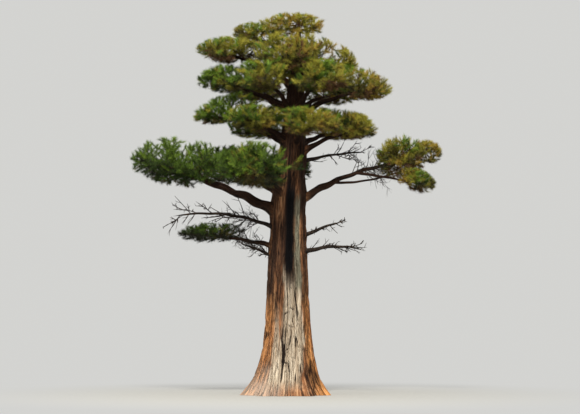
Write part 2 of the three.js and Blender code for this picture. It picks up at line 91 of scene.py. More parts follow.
# Each row is a pad of foliage on a bough of its own. The bough leaves the trunk at the height fork, or
# the bough named parent at the share along. The pad reaches from inner to outer, measured level from the
# trunk's axis. level is the height of its widest section, with top above it and bottom below it. width is
# half of its breadth, tilt lifts its far end, and girth is the bough's radius where it starts.
Pad = namedtuple(
    "Pad",
    "name azimuth fork inner outer level width top bottom tilt girth arch parent along",
    defaults=(0.88, None, None),
)
PADS = [
    Pad("top_left", 176, 7.75, 0.35, 1.56, 8.46, 0.68, 0.30, 0.36, 4, 0.042),
    Pad("upper_left", 181, 7.15, 0.55, 2.42, 8.07, 0.80, 0.34, 0.34, 2, 0.058),
    Pad("upper_right", 352, 7.25, 0.02, 1.50, 7.98, 0.86, 0.36, 0.34, -27, 0.058),
    Pad("upper_front", 258, 7.20, 0.15, 1.72, 7.92, 1.12, 0.54, 0.52, -6, 0.058),
    Pad("upper_back", 82, 7.30, 0.20, 1.80, 7.95, 1.05, 0.52, 0.50, -6, 0.058),
    Pad("middle_left", 184, 6.50, 0.60, 2.36, 7.37, 0.80, 0.40, 0.34, 0, 0.070),
    Pad("middle_right", 356, 6.50, 0.50, 2.28, 7.30, 0.90, 0.44, 0.38, -12, 0.072),
    Pad("middle_front_left", 239, 6.45, 0.20, 2.05, 7.40, 1.00, 0.46, 0.36, -3, 0.066),
    Pad("middle_front_right", 293, 6.55, 0.20, 2.10, 7.38, 1.02, 0.50, 0.40, -6, 0.066),
    Pad("middle_back_left", 126, 6.50, 0.25, 2.25, 7.30, 0.92, 0.48, 0.38, -5, 0.066),
    Pad("middle_back_right", 56, 6.60, 0.25, 2.30, 7.27, 0.94, 0.48, 0.40, -8, 0.066),
    Pad("lower_left", 178, 5.90, 0.60, 2.44, 6.68, 0.80, 0.40, 0.30, -12, 0.066),
    Pad("lower_front_left", 224, 5.80, 0.25, 2.05, 6.42, 0.78, 0.35, 0.32, 2, 0.060),
    Pad("lower_front", 286, 5.75, 0.25, 1.90, 6.34, 0.95, 0.38, 0.34, -4, 0.066),
    Pad("lower_right", 346, 5.50, 0.45, 2.00, 6.30, 0.76, 0.39, 0.33, -10, 0.070),
    Pad("lower_back_right", 48, 5.75, 0.40, 2.45, 6.33, 0.90, 0.36, 0.30, -4, 0.074),
    Pad("lower_back_left", 122, 5.65, 0.40, 2.35, 6.35, 0.90, 0.36, 0.30, -4, 0.074),
    Pad("left_outer", 180, 4.15, 1.30, 3.88, 5.46, 1.05, 0.58, 0.62, 5, 0.135, 0.6),
    Pad("left_front", 235, 4.40, 0.25, 2.35, 5.35, 1.10, 0.57, 0.58, 0, 0.095),
    Pad("left_back", 143, 4.50, 0.45, 2.85, 5.42, 0.94, 0.50, 0.50, 2, 0.100),
    Pad("low_back", 100, 4.70, 0.45, 2.75, 5.33, 0.84, 0.43, 0.38, 2, 0.090),
    Pad("tuft_upper", 2, 4.40, 1.94, 3.18, 5.58, 0.66, 0.54, 0.64, 0, 0.092),
    Pad("tuft_outer", 9, None, 2.86, 3.58, 5.72, 0.46, 0.30, 0.30, -16, 0.034, -0.1, "tuft_upper", 0.36),
    Pad("tuft_lower", 354, None, 2.42, 3.42, 5.02, 0.48, 0.30, 0.30, -18, 0.042, 0.3, "tuft_upper", 0.55),
    Pad("small_left", 181, 3.38, 0.95, 2.64, 3.80, 0.46, 0.25, 0.25, -2, 0.062),
]
CROWN = Values(name="crown_top", offset=-0.18, level=8.55, along=0.94, width=0.92, top=0.43, bottom=0.5)

# Bare limbs. reach is the level distance to the tip, end the height of the tip, and twigs their number.
DeadLimb = namedtuple("DeadLimb", "name azimuth fork reach end girth arch twigs")
DEAD_LIMBS = [
    DeadLimb("dead_left_upper", 192, 3.74, 2.75, 4.17, 0.048, 1.6, 5),
    DeadLimb("dead_left_lower", 186, 3.08, 1.08, 3.54, 0.044, 0.5, 3),
    DeadLimb("dead_right_upper", 356, 3.50, 1.20, 4.04, 0.052, 0.7, 3),
    DeadLimb("dead_right_lower", 350, 3.18, 1.64, 3.44, 0.058, 1.5, 5),
    DeadLimb("dead_right_high", 8, 5.38, 1.74, 5.70, 0.040, 0.9, 4),
]

BOUGH = Values(tip=0.22, bend=0.45)
STEM = Values(enter=0.12, end=0.78, drop=0.15)
TWIG = Values(spacing=0.44, first=0.8, last=0.97, girth=0.5, least=0.01, reach=0.62, near=34, far=78,
              sway=24, low=-6, high=30)
SPRAY = Values(longest=0.62, sunk=0.14, reach=0.985)
TIP_SPRAY = Values(sway=12, lift=6)
TOP_SPRAYS = Values(count=4, lift=0.2, depth=0.4, low=40, high=85)
DEAD_TWIG = Values(first=0.45, last=0.92, out=0.4, down=-0.9, up=0.6, girth=0.55, reach=0.26, shortest=0.6)
CROWN_STEM = Values(reach=0.9, foot=0.9, tip=0.3)
# Room is looked for up to farthest, by halving that often. stride is a step along a limb. A twig ends
# within edge of its own pad's space, and no more than shared deeper in another's.
ROOM = Values(farthest=3.0, halvings=20, stride=0.005, edge=1.03, shared=0.35)
STREAM = Values(modulus=2147483647, multiplier=16807, letter=131, warm=5)

# How the rule is carried on. The solids' own twigs run on through the share run of their sprays, with a bow
# and a sag, and are kept where the place at checked lies in their own pad.
BRANCH = Values(run=0.8, bow=0.07, sag=0.03, shortest=0.1, checked=0.6, tip=0.004, sides=5, steps=5)
# Each order of twigs branches from the one before at its spacing, alternately to each hand, turned away
# by far at its parent's foot and near at its tip, and lifted between low and high. A twig runs to a depth
# in its pad between inside and reach, but no further than longest, shortened by short towards its
# parent's tip. Its own tip curls up by the share curl of its length.
BETWEEN = Values(spacing=0.13, first=0.0, last=0.85, near=36, far=156, sway=40, low=-50, high=66,
                 inside=0.7, reach=0.97, longest=1.3, short=0.3, curl=0.05, girth=0.009, tip=0.004,
                 sides=4, steps=4)
SIDE = Values(spacing=0.17, first=0.08, last=0.96, near=36, far=96, sway=44, low=-80, high=80, inside=0.75,
              reach=0.98, longest=0.62, short=0.35, curl=0.06, girth=0.0055, tip=0.0025, sides=3, steps=3)
SHOOT = Values(spacing=0.105, first=0.2, last=0.97, near=36, far=66, sway=40, low=-46, high=56, inside=0.94,
               reach=1.0, longest=0.28, short=0.25, curl=0.15, girth=0.0035, tip=0.0015, sides=3, steps=1)
# In every order a twig starts between early and late in its own stretch of its parent, has at least the
# share least of the length it may have, and its middle and its curl set how it bends.
FINER = Values(early=0.1, late=0.9, least=0.7, middle=0.55, curled=0.6, shortest=0.05)
TUBE_END = 0.3
# The share of a twig, up to its tip, that bears needles as a shoot does.
NEEDLED = Values(branch=0.3, side=0.5, middle=0.5)
# Needles stand in bundles of two. splay and close are how far they stand away from their shoot at its foot
# and at its tip, and part is the angle between the two. turn is the turn in radians from one to the next.
NEEDLE = Values(per_metre=200, fewest=10, length=0.1, short=0.75, long=1.15, width=0.0068, first=0.06,
                turn=2.4, stray=0.4, splay=62, close=18, ease=1.5, sway=16, part=20, lift=0.14, twist=0.6,
                edge=1.06, lowest=0.05)

# Which pads are joined into one piece of needles and one of twigs. light is how bright the needles are
# painted there, as painted light and shade, warm how olive, and crowd how much closer the twigs stand.
TIERS = {
    "head": Values(light=0.52, warm=0, crowd=1, pads=[
        "crown_top", "top_left", "upper_left", "upper_right", "upper_front", "upper_back"]),
    "middle": Values(light=0.48, warm=0, crowd=1, pads=[
        "middle_left", "middle_right", "middle_front_left", "middle_front_right", "middle_back_left",
        "middle_back_right"]),
    "lower": Values(light=0.54, warm=0, crowd=1, pads=[
        "lower_left", "lower_front_left", "lower_front", "lower_right", "lower_back_right",
        "lower_back_left"]),
    "left": Values(light=0.38, warm=-0.2, crowd=1.4, pads=[
        "left_outer", "left_front", "left_back", "low_back"]),
    "right": Values(light=0.38, warm=0, crowd=2.2, pads=["tuft_upper", "tuft_outer", "tuft_lower"]),
    "small": Values(light=-0.2, warm=0, crowd=1, pads=["small_left"]),
}
# Painted light and shade on the needles: they are painted lighter above the middle of their pad and darker
# below it. They are more olive beside plain green towards the right and in the head of the crown, and more
# olive and browner under a pad, as painted shade. Both stray, and swell and fade in clumps.
LIGHT = Values(above=0.4, below=0.42, stray=0.2, weight=1.3)
WARM = Values(left=-2.2, right=2.6, least=0.05, most=0.66, low=7.2, high=8.3, head=0.4, above=0.2,
              below=0.5, stray=0.16)
CLUMP = Values(often=4.5, waves=3, warm=0.5, light=0.3)
Tint = namedtuple("Tint", "name warm light colour")
TINTS = [
    Tint("black_green", 0.2, -0.25, (30, 32, 14)),
    Tint("deep_green", 0.0, 0.1, (46, 62, 20)),
    Tint("mid_green", 0.0, 0.45, (72, 94, 26)),
    Tint("fresh_green", 0.05, 0.85, (100, 124, 36)),
    Tint("shade_olive", 0.6, 0.1, (72, 66, 28)),
    Tint("olive", 0.6, 0.45, (110, 106, 34)),
    Tint("light_olive", 0.6, 0.85, (142, 136, 46)),
    Tint("gold_olive", 1.0, 0.6, (142, 120, 44)),
    # The darkest brown, which needles take where they are painted darkest and most olive, as painted shade
    # under a pad.
    Tint("faded", 1.0, 0.05, (88, 62, 36)),
]
TWIG_COLOURS = {"twig_brown": (66, 48, 38), "twig_grey": (74, 64, 54), "twig_red": (74, 50, 38)}
FINISH = Values(needle_roughness=0.6, needle_gloss=0.25, twig_roughness=0.85, twig_gloss=0.1)
# Tones laid over the bark and the wood. furrow, split and between are painted shade in the bark's creases
# and between its plates, and wood_split and crack are painted shade in the wood's splits and cracks. shade
# and the groove's tone are painted shade too.
TONES = {
    "fibre_light": (204, 168, 132), "fibre_dark": (60, 38, 28), "split": (48, 30, 22),
    "furrow": (28, 18, 14), "between": (26, 16, 13), "dust": (212, 196, 180), "shade": (38, 25, 20),
    "wood_split": (84, 66, 52), "crack": (34, 25, 21), "groove": (10, 8, 10),
}
# The colours along each noise, from its low values to its high ones.
RAMPS = {
    "strips": [(0.34, (84, 54, 38)), (0.45, (150, 98, 62)), (0.55, (192, 130, 84)),
               (0.68, (222, 180, 136))],
    "brown": [(0.36, (116, 78, 56)), (0.62, (188, 126, 82))],
    "fresh": [(0.38, (172, 106, 56)), (0.6, (236, 164, 96))],
    "wood": [(0.32, (98, 78, 62)), (0.46, (174, 154, 130)), (0.64, (226, 212, 190))],
    "lichen": [(0.36, (72, 66, 52)), (0.6, (128, 124, 106))],
    "dead": [(0.3, (16, 12, 10)), (0.52, (34, 26, 21)), (0.7, (72, 59, 48))],
}
# The noises on a limb's skin, with so many waves to the metre round it and along it. Furrows and splits are
# the thin lines where their noise is within half of its middle.
Noise = namedtuple("Noise", "around along detail roughness")
NOISES = {
    "streaks": Noise(11, 0.5, 5, 0.62),
    "fibres": Noise(52, 2.4, 6, 0.7),
    "patches": Noise(2.2, 0.8, 3, 0.5),
    "furrows": Noise(15, 0.9, 3, 0.5),
    "splits": Noise(42, 2.6, 3, 0.55),
    "rings": Noise(44, 1.2, 6, 0.7),
}
FURROW = Values(half=0.04, dark=0.85, strength=0.9, depth=-0.03)
SPLIT = Values(half=0.05, dark=0.5, dark_on_wood=0.45, strength=0.8, depth=-0.01)
FIBRE = Values(middle=0.5, light=0.72, lightest=0.75, dark=0.3, darkest=0.65, strength=0.9, depth=0.02)
BARK = Values(patchy=0.35, plate=0.6, between=0.95, crack_low=0.27, crack_high=0.44, gloss=0.12)
# How rough a surface is where its noise is low and where it is high.
Rough = namedtuple("Rough", "low high least most")
BARK_ROUGH = Rough(0.3, 0.7, 0.78, 0.96)
DEAD_ROUGH = Rough(0.3, 0.7, 0.75, 0.95)
DEAD_WOOD = Values(scale=24, detail=4, roughness=0.6, gloss=0.15, strength=0.4, depth=0.006)

# The trunk's skin has corners around and up it, crowded towards its foot, and bark plates in columns and
# rows. Slivers in finer columns and rows are laid over the plates with the weight fine. The plates stand
# out of the solid by deep, from its surface at level, and by the share top of that at the trunk's top.
SKIN = Values(around=216, up=300, crowding=1.15, columns=34, rows=9, deep=0.045, level=0.75, top=0.4,
              fine=0.45, finer_columns=2, finer_rows=3)
PLATES = Values(columns=9, wander=3.2, low=0.02, high=0.42)
LUMPS = Values(columns=10, rows=9, high=0.05)
# How the edges of the strips on the trunk stray, by far degrees in all. That counts by the share second for
# the narrow strips and by its own share for the groove's painted shade, and a strip's end strays a metre
# for each per_metre.
RAGGED = Values(columns=24, rows=40, far=14, per_metre=40, second=0.5, groove=0.3)
# The bleached bare wood turns from the azimuth foot at the ground to azimuth at the height turn, and
# narrows.
BARE = Values(low=0.05, high=2.75, ease=0.35, azimuth=283, foot=262, turn=1.4, width=31, soft=5, narrow=7,
              wide_to=1.8, narrow_from=2.6, sunk=0.02, smoother=0.85)
# A narrow second strip of bare wood, a pale strip, and the groove, painted near black as painted shade.
# Each is whole from full to fading.
Strip = namedtuple("Strip", "azimuth width faint low full fading high")
SECOND = Strip(240, 6, 0.3, 0.25, 0.55, 1.0, 2.3)
PALE = Strip(299, 9, 0.3, 2.3, 2.6, 4.45, 4.75)
SHADED_GROOVE = Strip(275, 14.5, 0.25, 2.1, 3.0, 4.7, 5.5)
STRIPS = Values(solid=0.7, second=0.9, dark_smoother=0.6)
DUST = Values(azimuth=218, width=30, low=0.15, high=0.9, strength=0.55, per_metre=60)
# Painted light on the trunk's two sides: they are painted a brighter orange below low to high. The right
# one turns from foot at the ground to right between turn_low and turn_high.
PAINTED_SIDE_LIGHT = Values(left=205, right=334, foot=348, turn_low=0.2, turn_high=1.2, width=15, low=2.1, high=2.9)
# Painted shade on the trunk: it is darker at its two sides, from foot up to full, towards its top, from low
# up to high, and in streaks.
SHADE = Values(right=335, left=196, width=19, left_strength=0.7, foot=2.0, full=2.6, low=3.4, high=6.0,
               sides=0.8, top=0.85, most=0.92)
STREAK = Values(columns=22, rows=5, faint=0.45, solid=0.75, least=0.15, most=0.6, low=1.6, high=2.8)
# Long cracks wander down the bare wood. Along each, its width is taken by a share between least and the
# share widest, and the crack closes where that is below 0.
Crack = namedtuple("Crack", "azimuth width least")
CRACK_LINES = [
    Crack(255, 2.0, 0.2),
    Crack(265, 0.9, -0.5),
    Crack(274, 1.1, -0.5),
    Crack(286, 1.1, -0.5),
    Crack(297, 1.1, -0.5),
]
CRACKS = Values(stray=11, bends=18, breaks=40, deep=0.035, widest=2.6, inner=0.6, outer=1.6)
CROSSES = Values(count=5, low=0.7, high=2.3, azimuth=277, spread=20, half=8, core=0.7, slope=0.006,
                 thick=0.03, heart=0.5, dark=0.85)
# Where a limb comes out of the trunk, the trunk swells by the share rise of the limb's radius.
MOUTH = Values(rise=0.55, spread=1.7, step=0.01)

# A limb's skin. Its middle line wanders in waves of the length wave. Its plates are plates long, and its
# knots knot_length. It swells by collar near its foot, within about that distance, and its tip closes.
LIMB = Values(spacing=0.045, fewest=12, sides=18, columns=9, plates=0.55, fewest_plates=2, deep=0.14,
              level=0.7, knots=0.16, knot_columns=5, knot_length=0.22, fewest_knots=3, wander=0.25,
              wave=0.8, quicker=1.4, straight=0.2, wandering=0.7, steady=0.8, collar=0.9, within=0.32,
              closes=0.9, close=0.85, end_ridge=0.6, grain_apart=50)
# How much painted shade the boughs take: near at the trunk and far where they stand proud of it by more
# than away.
BOUGH_SHADE = Values(near=0.6, far=0.94, close=0.03, away=0.16, groove=0.06)

# Twigs on the bare limbs: the thickness of the solids' own twigs, then how the finer orders grow. count is
# for each parent, and length is the greatest share of the parent's length.
BARE_TWIGS = Values(blunt=0.4, tip=0.008, bend=0.12, sides=5, steps=5)
BareOrder = namedtuple("BareOrder", "count length foot tip bend sides steps", defaults=(0.1, 5, 5))
ON_TWIGS = BareOrder(5, 0.42, 0.012, 0.005)
ON_LIMB = BareOrder(11, 0.24, 0.012, 0.005)
FINEST = BareOrder(3, 0.5, 0.007, 0.003)
BARE_FINER = Values(first=0.16, last=1.0, least=0.5, stray=0.9)
# Tangles of bare twigs that stand on a limb between the shares first and last. length is in metres.
Tangle = namedtuple("Tangle", "limb first last count length")
TANGLES = [
    Tangle("dead_left_upper", 0.26, 0.46, 18, 0.44),
    Tangle("dead_left_lower", 0.45, 0.95, 9, 0.36),
    Tangle("small_left", 0.24, 0.5, 14, 0.4),
    Tangle("tuft_upper", 0.5, 0.72, 16, 0.6),
]
TANGLE_FIRST = Values(foot=0.01, tip=0.005, bend=0.25, sides=5, steps=5)
TANGLE_ORDERS = [
    BareOrder(4, 0.75, 0.0055, 0.003, 0.25, 4, 4),
    BareOrder(3, 0.6, 0.003, 0.002, 0.25, 3, 3),
]

WORLD = Values(colour=(240, 240, 237), strength=0.75)
FLOOR = Values(radius=90, step=3.0, colour=(174, 173, 169), grain=(174, 173, 168), scale=3, detail=4,
               roughness=0.55, rough=0.9, near=1.5, far=9)
CAMERA = Values(distance=62, height=2.6, aim=(0.1, 0, 4.4), tall=9.7, sensor=36, frame=(580, 414), clip=400)
LAMPS = {
    "key": Values(place=(-3, -24, 27), size=6, power=15500, colour=(1, 0.97, 0.9)),
    "fill": Values(place=(-22, -14, 9), size=14, power=900, colour=(0.96, 0.98, 1)),
}
LAMPS_AIM = (0, 0, 4.5)

UP = np.array([0.0, 0, 1])
# What gives a line that points straight up a side too, and the least length that a vector is divided by.
NUDGE = 1e-9
TINY = 1e-12


def linear(colour):
    """A colour as the shaders want it, from the usual three numbers up to 255."""
    shares = np.array(colour) / 255
    return (*np.where(shares <= 0.04045, shares / 12.92, ((shares + 0.055) / 1.055) ** 2.4), 1)


def lerp(start, end, share):
    return start + (end - start) * share


def smooth(value, low, high):
    share = np.clip((value - low) / (high - low), 0, 1)
    return share * share * (3 - 2 * share)


def span(value, low, full, fading, high):
    """Rises smoothly from 0 at low to 1 at full, and falls from fading to 0 again at high."""
    return smooth(value, low, full) * (1 - smooth(value, fading, high))


def bell(away):
    """1 at no distance, falling to 0 over about three."""
    return np.exp(-(away**2) / 2)


def unit(vectors):
    return vectors / np.maximum(np.linalg.norm(vectors, axis=-1, keepdims=True), TINY)


def crosswise(tangent, up=UP, nudge=0.0):
    """Two directions square to each tangent: the one to its side, and the one that rises.

    A tangent that points along up only has them with a nudge, and otherwise both are nothing.
    """
    side = unit(np.cross(tangent, up) + nudge)
    return side, np.cross(side, tangent)


def heading(azimuth):
    """The level direction of an azimuth."""
    turn = np.radians(azimuth)
    return np.stack([np.cos(turn), np.sin(turn), np.zeros_like(turn, dtype=float)], -1)


def azimuth_of(away):
    return np.degrees(np.arctan2(away[:, 1], away[:, 0])) % 360


def turned(azimuth, centre):
    """How far azimuths are turned from another, between -180 and 180."""
    return (azimuth - centre + 540) % 360 - 180


def nearness(azimuth, centre, width):
    """How close azimuths are to another, from 1 where they meet down to 0."""
    return bell(turned(azimuth, centre) / width)


def stream(name):
    """A stream of numbers from 0 to 1 that depends only on the name it is made for."""
    state = 1
    for letter in name:
        state = (state * STREAM.letter + ord(letter)) % STREAM.modulus
    for _ in range(STREAM.warm):
        state = state * STREAM.multiplier % STREAM.modulus
    while True:
        state = state * STREAM.multiplier % STREAM.modulus
        yield state / STREAM.modulus


def seeded(name):
    """Random arrays that depend only on the name they are made for."""
    return np.random.default_rng(list(name.encode()))


def either_way(draw, far, shape):
    """Random numbers up to far from 0."""
    return draw.uniform(-far, far, shape)


def trunk_axis(height):
    """The middle of the trunk at a height."""
    share = np.maximum(height, 0) / TRUNK.height
    lean = TRUNK.lean * share**TRUNK.bend
    bow = TRUNK.sway * np.sin(share * TRUNK.bows * 2 * math.pi) * (1 - share)
    back = TRUNK.sway * np.sin(share * 2 * math.pi)
    return np.stack([lean + bow, back, np.asarray(height, float)], -1)


def trunk_radius(height, azimuth):
    """The trunk's radius at a height and azimuth, with its root flare, flutes and groove."""
    left = np.maximum(0, 1 - (height / TRUNK.point) ** TRUNK.fullness)
    taper = TRUNK.radius * left**TRUNK.blunt
    roots = [reach * nearness(azimuth, at, FLARE.width) for at, reach in ROOTS.items()]
    flare = FLARE.reach * np.maximum(FLARE.between, np.max(roots, 0)) * np.exp(-height / FLARE.height)
    flutes = 1 + FLUTES.depth * np.cos(np.radians(FLUTES.count * (azimuth - FLUTES.azimuth)))
    low, high, ease = GROOVE.low, GROOVE.high, GROOVE.ease
    stretch = span(height, low - ease, low + ease, high - ease, high + ease)
    return taper * flutes + flare - GROOVE.depth * nearness(azimuth, GROOVE.azimuth, GROOVE.width) * stretch


class Curves:
    """Limbs that bend evenly from start to end by way of control, one in each row."""

    def __init__(self, start, control, end):
        self.start, self.control, self.end = (np.atleast_2d(part) for part in (start, control, end))

    def point(self, share):
        share = np.asarray(share, float)[..., None]
        left = 1 - share
        return left * left * self.start + 2 * left * share * self.control + share * share * self.end

    def tangent(self, share):
        share = np.asarray(share, float)[..., None]
        return unit((1 - share) * (self.control - self.start) + share * (self.end - self.control))

    def picked(self, rows):
        return Curves(self.start[rows], self.control[rows], self.end[rows])

    def length(self):
        return np.linalg.norm(self.end - self.start, axis=1)

    def __len__(self):
        return len(self.start)


def joined(parts):
    """One set of curves from several."""
    points = (np.concatenate([getattr(part, of) for part in parts]) for of in ("start", "control", "end"))
    return Curves(*points)


def bent(start, end, draw, far, sag=0.0):
    """Curves whose middles stray and sag by up to these shares of their length."""
    length = np.linalg.norm(end - start, axis=1, keepdims=True)
    stray = either_way(draw, far, start.shape) - UP * sag
    return Curves(start, (start + end) / 2 + stray * length, end)


def limb_curve(start, end, arch):
    """A limb's middle line, from where it forks to its end."""
    control = lerp(start, end, BOUGH.bend)
    control[2] = lerp(start[2], end[2], arch)
    return Curves(start, control, end)


def lens(centre, azimuth, tilt, length, form, all_round=False):
    """The room that a mass of foliage keeps to, with its own height above and below its middle."""
    out, tilt = heading(azimuth), math.radians(tilt)
    return Values(
        centre=centre,
        along=out * math.cos(tilt) + UP * math.sin(tilt),
        across=np.cross(UP, out),
        rise=UP * math.cos(tilt) - out * math.sin(tilt),
        length=length,
        width=form.width,
        top=form.top,
        bottom=form.bottom,
        all_round=all_round,
    )


def pad_space(pad):
    """The room of a pad, from its row."""
    centre = trunk_axis(pad.level) + heading(pad.azimuth) * (pad.inner + pad.outer) / 2
    return lens(centre, pad.azimuth, pad.tilt, (pad.outer - pad.inner) / 2, pad)


def depth_in(space, points):
    """0 in the middle of a space and 1 on its edge."""
    away = points - space.centre
    rise = away @ space.rise
    height = np.where(rise > 0, space.top, space.bottom)
    along, across = away @ space.along / space.length, away @ space.across / space.width
    return np.sqrt(along**2 + across**2 + (rise / height) ** 2)


def room_to(space, points, directions, depth, most):
    """How far it is from points, in directions, to the given depth of a space, up to most."""
    points, directions = np.atleast_2d(points), np.atleast_2d(directions)
    near = np.zeros(len(points))
    far = np.broadcast_to(np.asarray(most, float), near.shape).copy()
    inside = depth_in(space, points) < depth
    for _ in range(ROOM.halvings):
        middle = (near + far) / 2
        within = depth_in(space, points + directions * middle[:, None]) < depth
        near, far = np.where(within, middle, near), np.where(within, far, middle)
    return np.where(inside, near, 0)


def direction_in(space, turn, lift):
    """A direction from its turn about the space's rise and its lift out of the space's level plane."""
    turn, lift = math.radians(turn), math.radians(lift)
    level = space.along * math.cos(turn) + space.across * math.sin(turn)
    return level * math.cos(lift) + space.rise * math.sin(lift)


def growth(space, curve, enter, name):
    """The twigs and sprays of a pad as the solids have them.

    A twig is given by its start and its share along the bough, a spray by its foot, direction and length.
    """
    draw = stream(name)
    twigs, sprays = [], []

    def spray(root, direction):
        length = room_to(space, root, direction, SPRAY.reach, SPRAY.longest)[0] / (1 - SPRAY.sunk)
        # The solids take the roll of the spray's blades here.
        next(draw)
        sprays.append((root - direction * SPRAY.sunk * length, direction, length))

    first = enter
    while depth_in(space, curve.point(first))[0] > TWIG.first:
        first += ROOM.stride
    count = 2 * max(2, math.floor(2 * space.length / TWIG.spacing + 0.5))
    for k in range(count):
        share = lerp(first, TWIG.last, k / count)
        start = curve.point(share)[0]
        hand = 1 if k % 2 else -1
        aside = 360 * k / count if space.all_round else hand * lerp(TWIG.far, TWIG.near, share)
        turn = aside + TWIG.sway * (next(draw) - 0.5)
        direction = direction_in(space, turn, lerp(TWIG.low, TWIG.high, next(draw)))
        room = room_to(space, start, direction, TWIG.reach, ROOM.farthest)[0]
        twigs.append((start, share))
        spray(start + direction * room, direction)
    spray(curve.point(1)[0], direction_in(space, TIP_SPRAY.sway * (next(draw) - 0.5), TIP_SPRAY.lift))
    for k in range(TOP_SPRAYS.count):
        turn = 360 * (k + next(draw)) / TOP_SPRAYS.count
        outward = direction_in(space, turn, 0)
        out = room_to(space, space.centre, outward, TOP_SPRAYS.depth, ROOM.farthest)[0]
        spot = space.centre + space.rise * space.top * TOP_SPRAYS.lift + outward * out
        spray(spot, direction_in(space, turn, lerp(TOP_SPRAYS.low, TOP_SPRAYS.high, next(draw))))
    return twigs, sprays


spaces = {pad.name: pad_space(pad) for pad in PADS}
crown_centre = trunk_axis(CROWN.level) + [CROWN.offset, 0, 0]
spaces[CROWN.name] = lens(crown_centre, 0, 0, CROWN.along, CROWN, all_round=True)


def owned(name, points):
    """True for points in a space that aren't much deeper in another."""
    own = depth_in(spaces[name], points)
    others = np.min([depth_in(other, points) for key, other in spaces.items() if key != name], 0)
    return (own <= ROOM.edge) & (own < others + ROOM.shared)


def clear_of_trunk(points, margin=0.02):
    """True for points outside the trunk's bark."""
    height = np.clip(points[:, 2], 0, TRUNK.height)
    away = points - trunk_axis(height)
    bark = trunk_radius(height, azimuth_of(away))
    return (np.hypot(away[:, 0], away[:, 1]) > bark + margin) | (points[:, 2] > TRUNK.height)


def bough_limbs():
    """Each bough's curve, from its parent to its tip inside its pad, and the radius where it starts."""
    limbs = {}
    for pad in PADS:
        space = spaces[pad.name]
        start = limbs[pad.parent].curve.point(pad.along)[0] if pad.parent else trunk_axis(pad.fork)
        end = space.centre + space.along * space.length * (2 * STEM.end - 1)
        curve = limb_curve(start, end - space.rise * space.bottom * STEM.drop, pad.arch)
        out = heading(pad.azimuth)
        mouth = lerp(pad.inner, pad.outer, STEM.enter) + trunk_axis(pad.level) @ out
        enter = 0
        while curve.point(enter)[0] @ out < mouth:
            enter += ROOM.stride
        collar = 0 if pad.parent else LIMB.collar
        limbs[pad.name] = Values(
            curve=curve, enter=enter, foot=pad.girth, tip=pad.girth * BOUGH.tip, collar=collar
        )
    start = trunk_axis(TRUNK.height)
    end = start + UP * CROWN.top * CROWN_STEM.reach
    thick = float(trunk_radius(TRUNK.height, np.array([0.0]))[0])
    foot, tip = thick * CROWN_STEM.foot, thick * CROWN_STEM.tip
    curve = Curves(start, (start + end) / 2, end)
    limbs[CROWN.name] = Values(curve=curve, enter=0, foot=foot, tip=tip, collar=0)
    return limbs


def branches(name, limb):
    """The first order of twigs and their radii.

    These are the solids' own twigs, each run on through its spray, and the lone sprays.
    """
    twigs, sprays = growth(spaces[name], limb.curve, limb.enter, name)
    starts, ends, feet = [], [], []
    for k, (root, direction, length) in enumerate(sprays):
        own = k < len(twigs)
        starts.append(twigs[k][0] if own else root)
        ends.append(root + direction * length * BRANCH.run)
        thick = lerp(limb.foot, limb.tip, twigs[k][1]) * TWIG.girth if own else 0
        feet.append(max(TWIG.least, thick))
    starts, ends = np.array(starts), np.array(ends)
    curves = bent(starts, ends, seeded(name + " branches"), BRANCH.bow, BRANCH.sag)
    keep = (curves.length() > BRANCH.shortest) & owned(name, lerp(starts, ends, BRANCH.checked))
    return curves.picked(keep), np.array(feet)[keep]


def dealt(count):
    """For things dealt out by count: whose each one is, and which of its owner's it is."""
    return np.repeat(np.arange(len(count)), count), np.concatenate([np.arange(n) for n in count])


def finer(name, parents, rule, draw, crowd=1):
    """The next order of twigs on these parents."""
    space = spaces[name]
    count = np.maximum(2, np.round(parents.length() * crowd / rule.spacing)).astype(int)
    parent, place = dealt(count)
    early = draw.uniform(FINER.early, FINER.late, len(place))
    share = lerp(rule.first, rule.last, (place + early) / count[parent])
    host = parents.picked(parent)
    start, tangent = host.point(share), host.tangent(share)
    side, rise = crosswise(tangent, space.rise)
    hand = np.where((place + parent) % 2, 1, -1)
    sway = rule.sway * either_way(draw, 0.5, len(place))
    turn = np.radians(hand * lerp(rule.far, rule.near, share) + sway)
    lift = np.radians(draw.uniform(rule.low, rule.high, len(place)))[:, None]
    level = tangent * np.cos(turn)[:, None] + side * np.sin(turn)[:, None]
    direction = level * np.cos(lift) + rise * np.sin(lift)
    depth = draw.uniform(rule.inside, rule.reach, len(place))
    most = rule.longest * (1 - rule.short * share) * draw.uniform(FINER.least, 1, len(place))
    reach = room_to(space, start, direction, depth, most)[:, None]
    middle = start + direction * reach * FINER.middle
    end = start + direction * reach * (1 - rule.curl / 2) + UP * rule.curl * reach * FINER.curled
    keep = (reach[:, 0] > FINER.shortest) & owned(name, end) & clear_of_trunk(end) & clear_of_trunk(start)
    return Curves(start, middle, end).picked(keep)


def tip_of(curves, share):
    """The end stretches of curves, which bear needles too."""
    start = curves.point(np.full(len(curves), 1 - share))
    tangent = curves.tangent(np.full(len(curves), 1.0))
    length = np.linalg.norm(curves.end - start, axis=1)[:, None]
    return Curves(start, curves.end - tangent * length * NEEDLED.middle, curves.end)


def ring_quads(rings, columns):
    """The quads between rings of corners, ring after ring."""
    k, i = np.meshgrid(np.arange(rings - 1), np.arange(columns), indexing="ij")
    after = (i + 1) % columns
    quads = [k * columns + i, k * columns + after, (k + 1) * columns + after, (k + 1) * columns + i]
    return np.stack(quads, -1).reshape(-1, 4)


def halved(quads):
    """Two triangles for each quad."""
    return np.concatenate([quads[:, [0, 1, 2]], quads[:, [0, 2, 3]]])


def together(parts):
    """One array of corners and one of faces from several pairs."""
    corners, faces, first = [], [], 0
    for points, sides in parts:
        corners.append(points)
        faces.append(sides + first)
        first += len(points)
    return np.concatenate(corners), np.concatenate(faces)


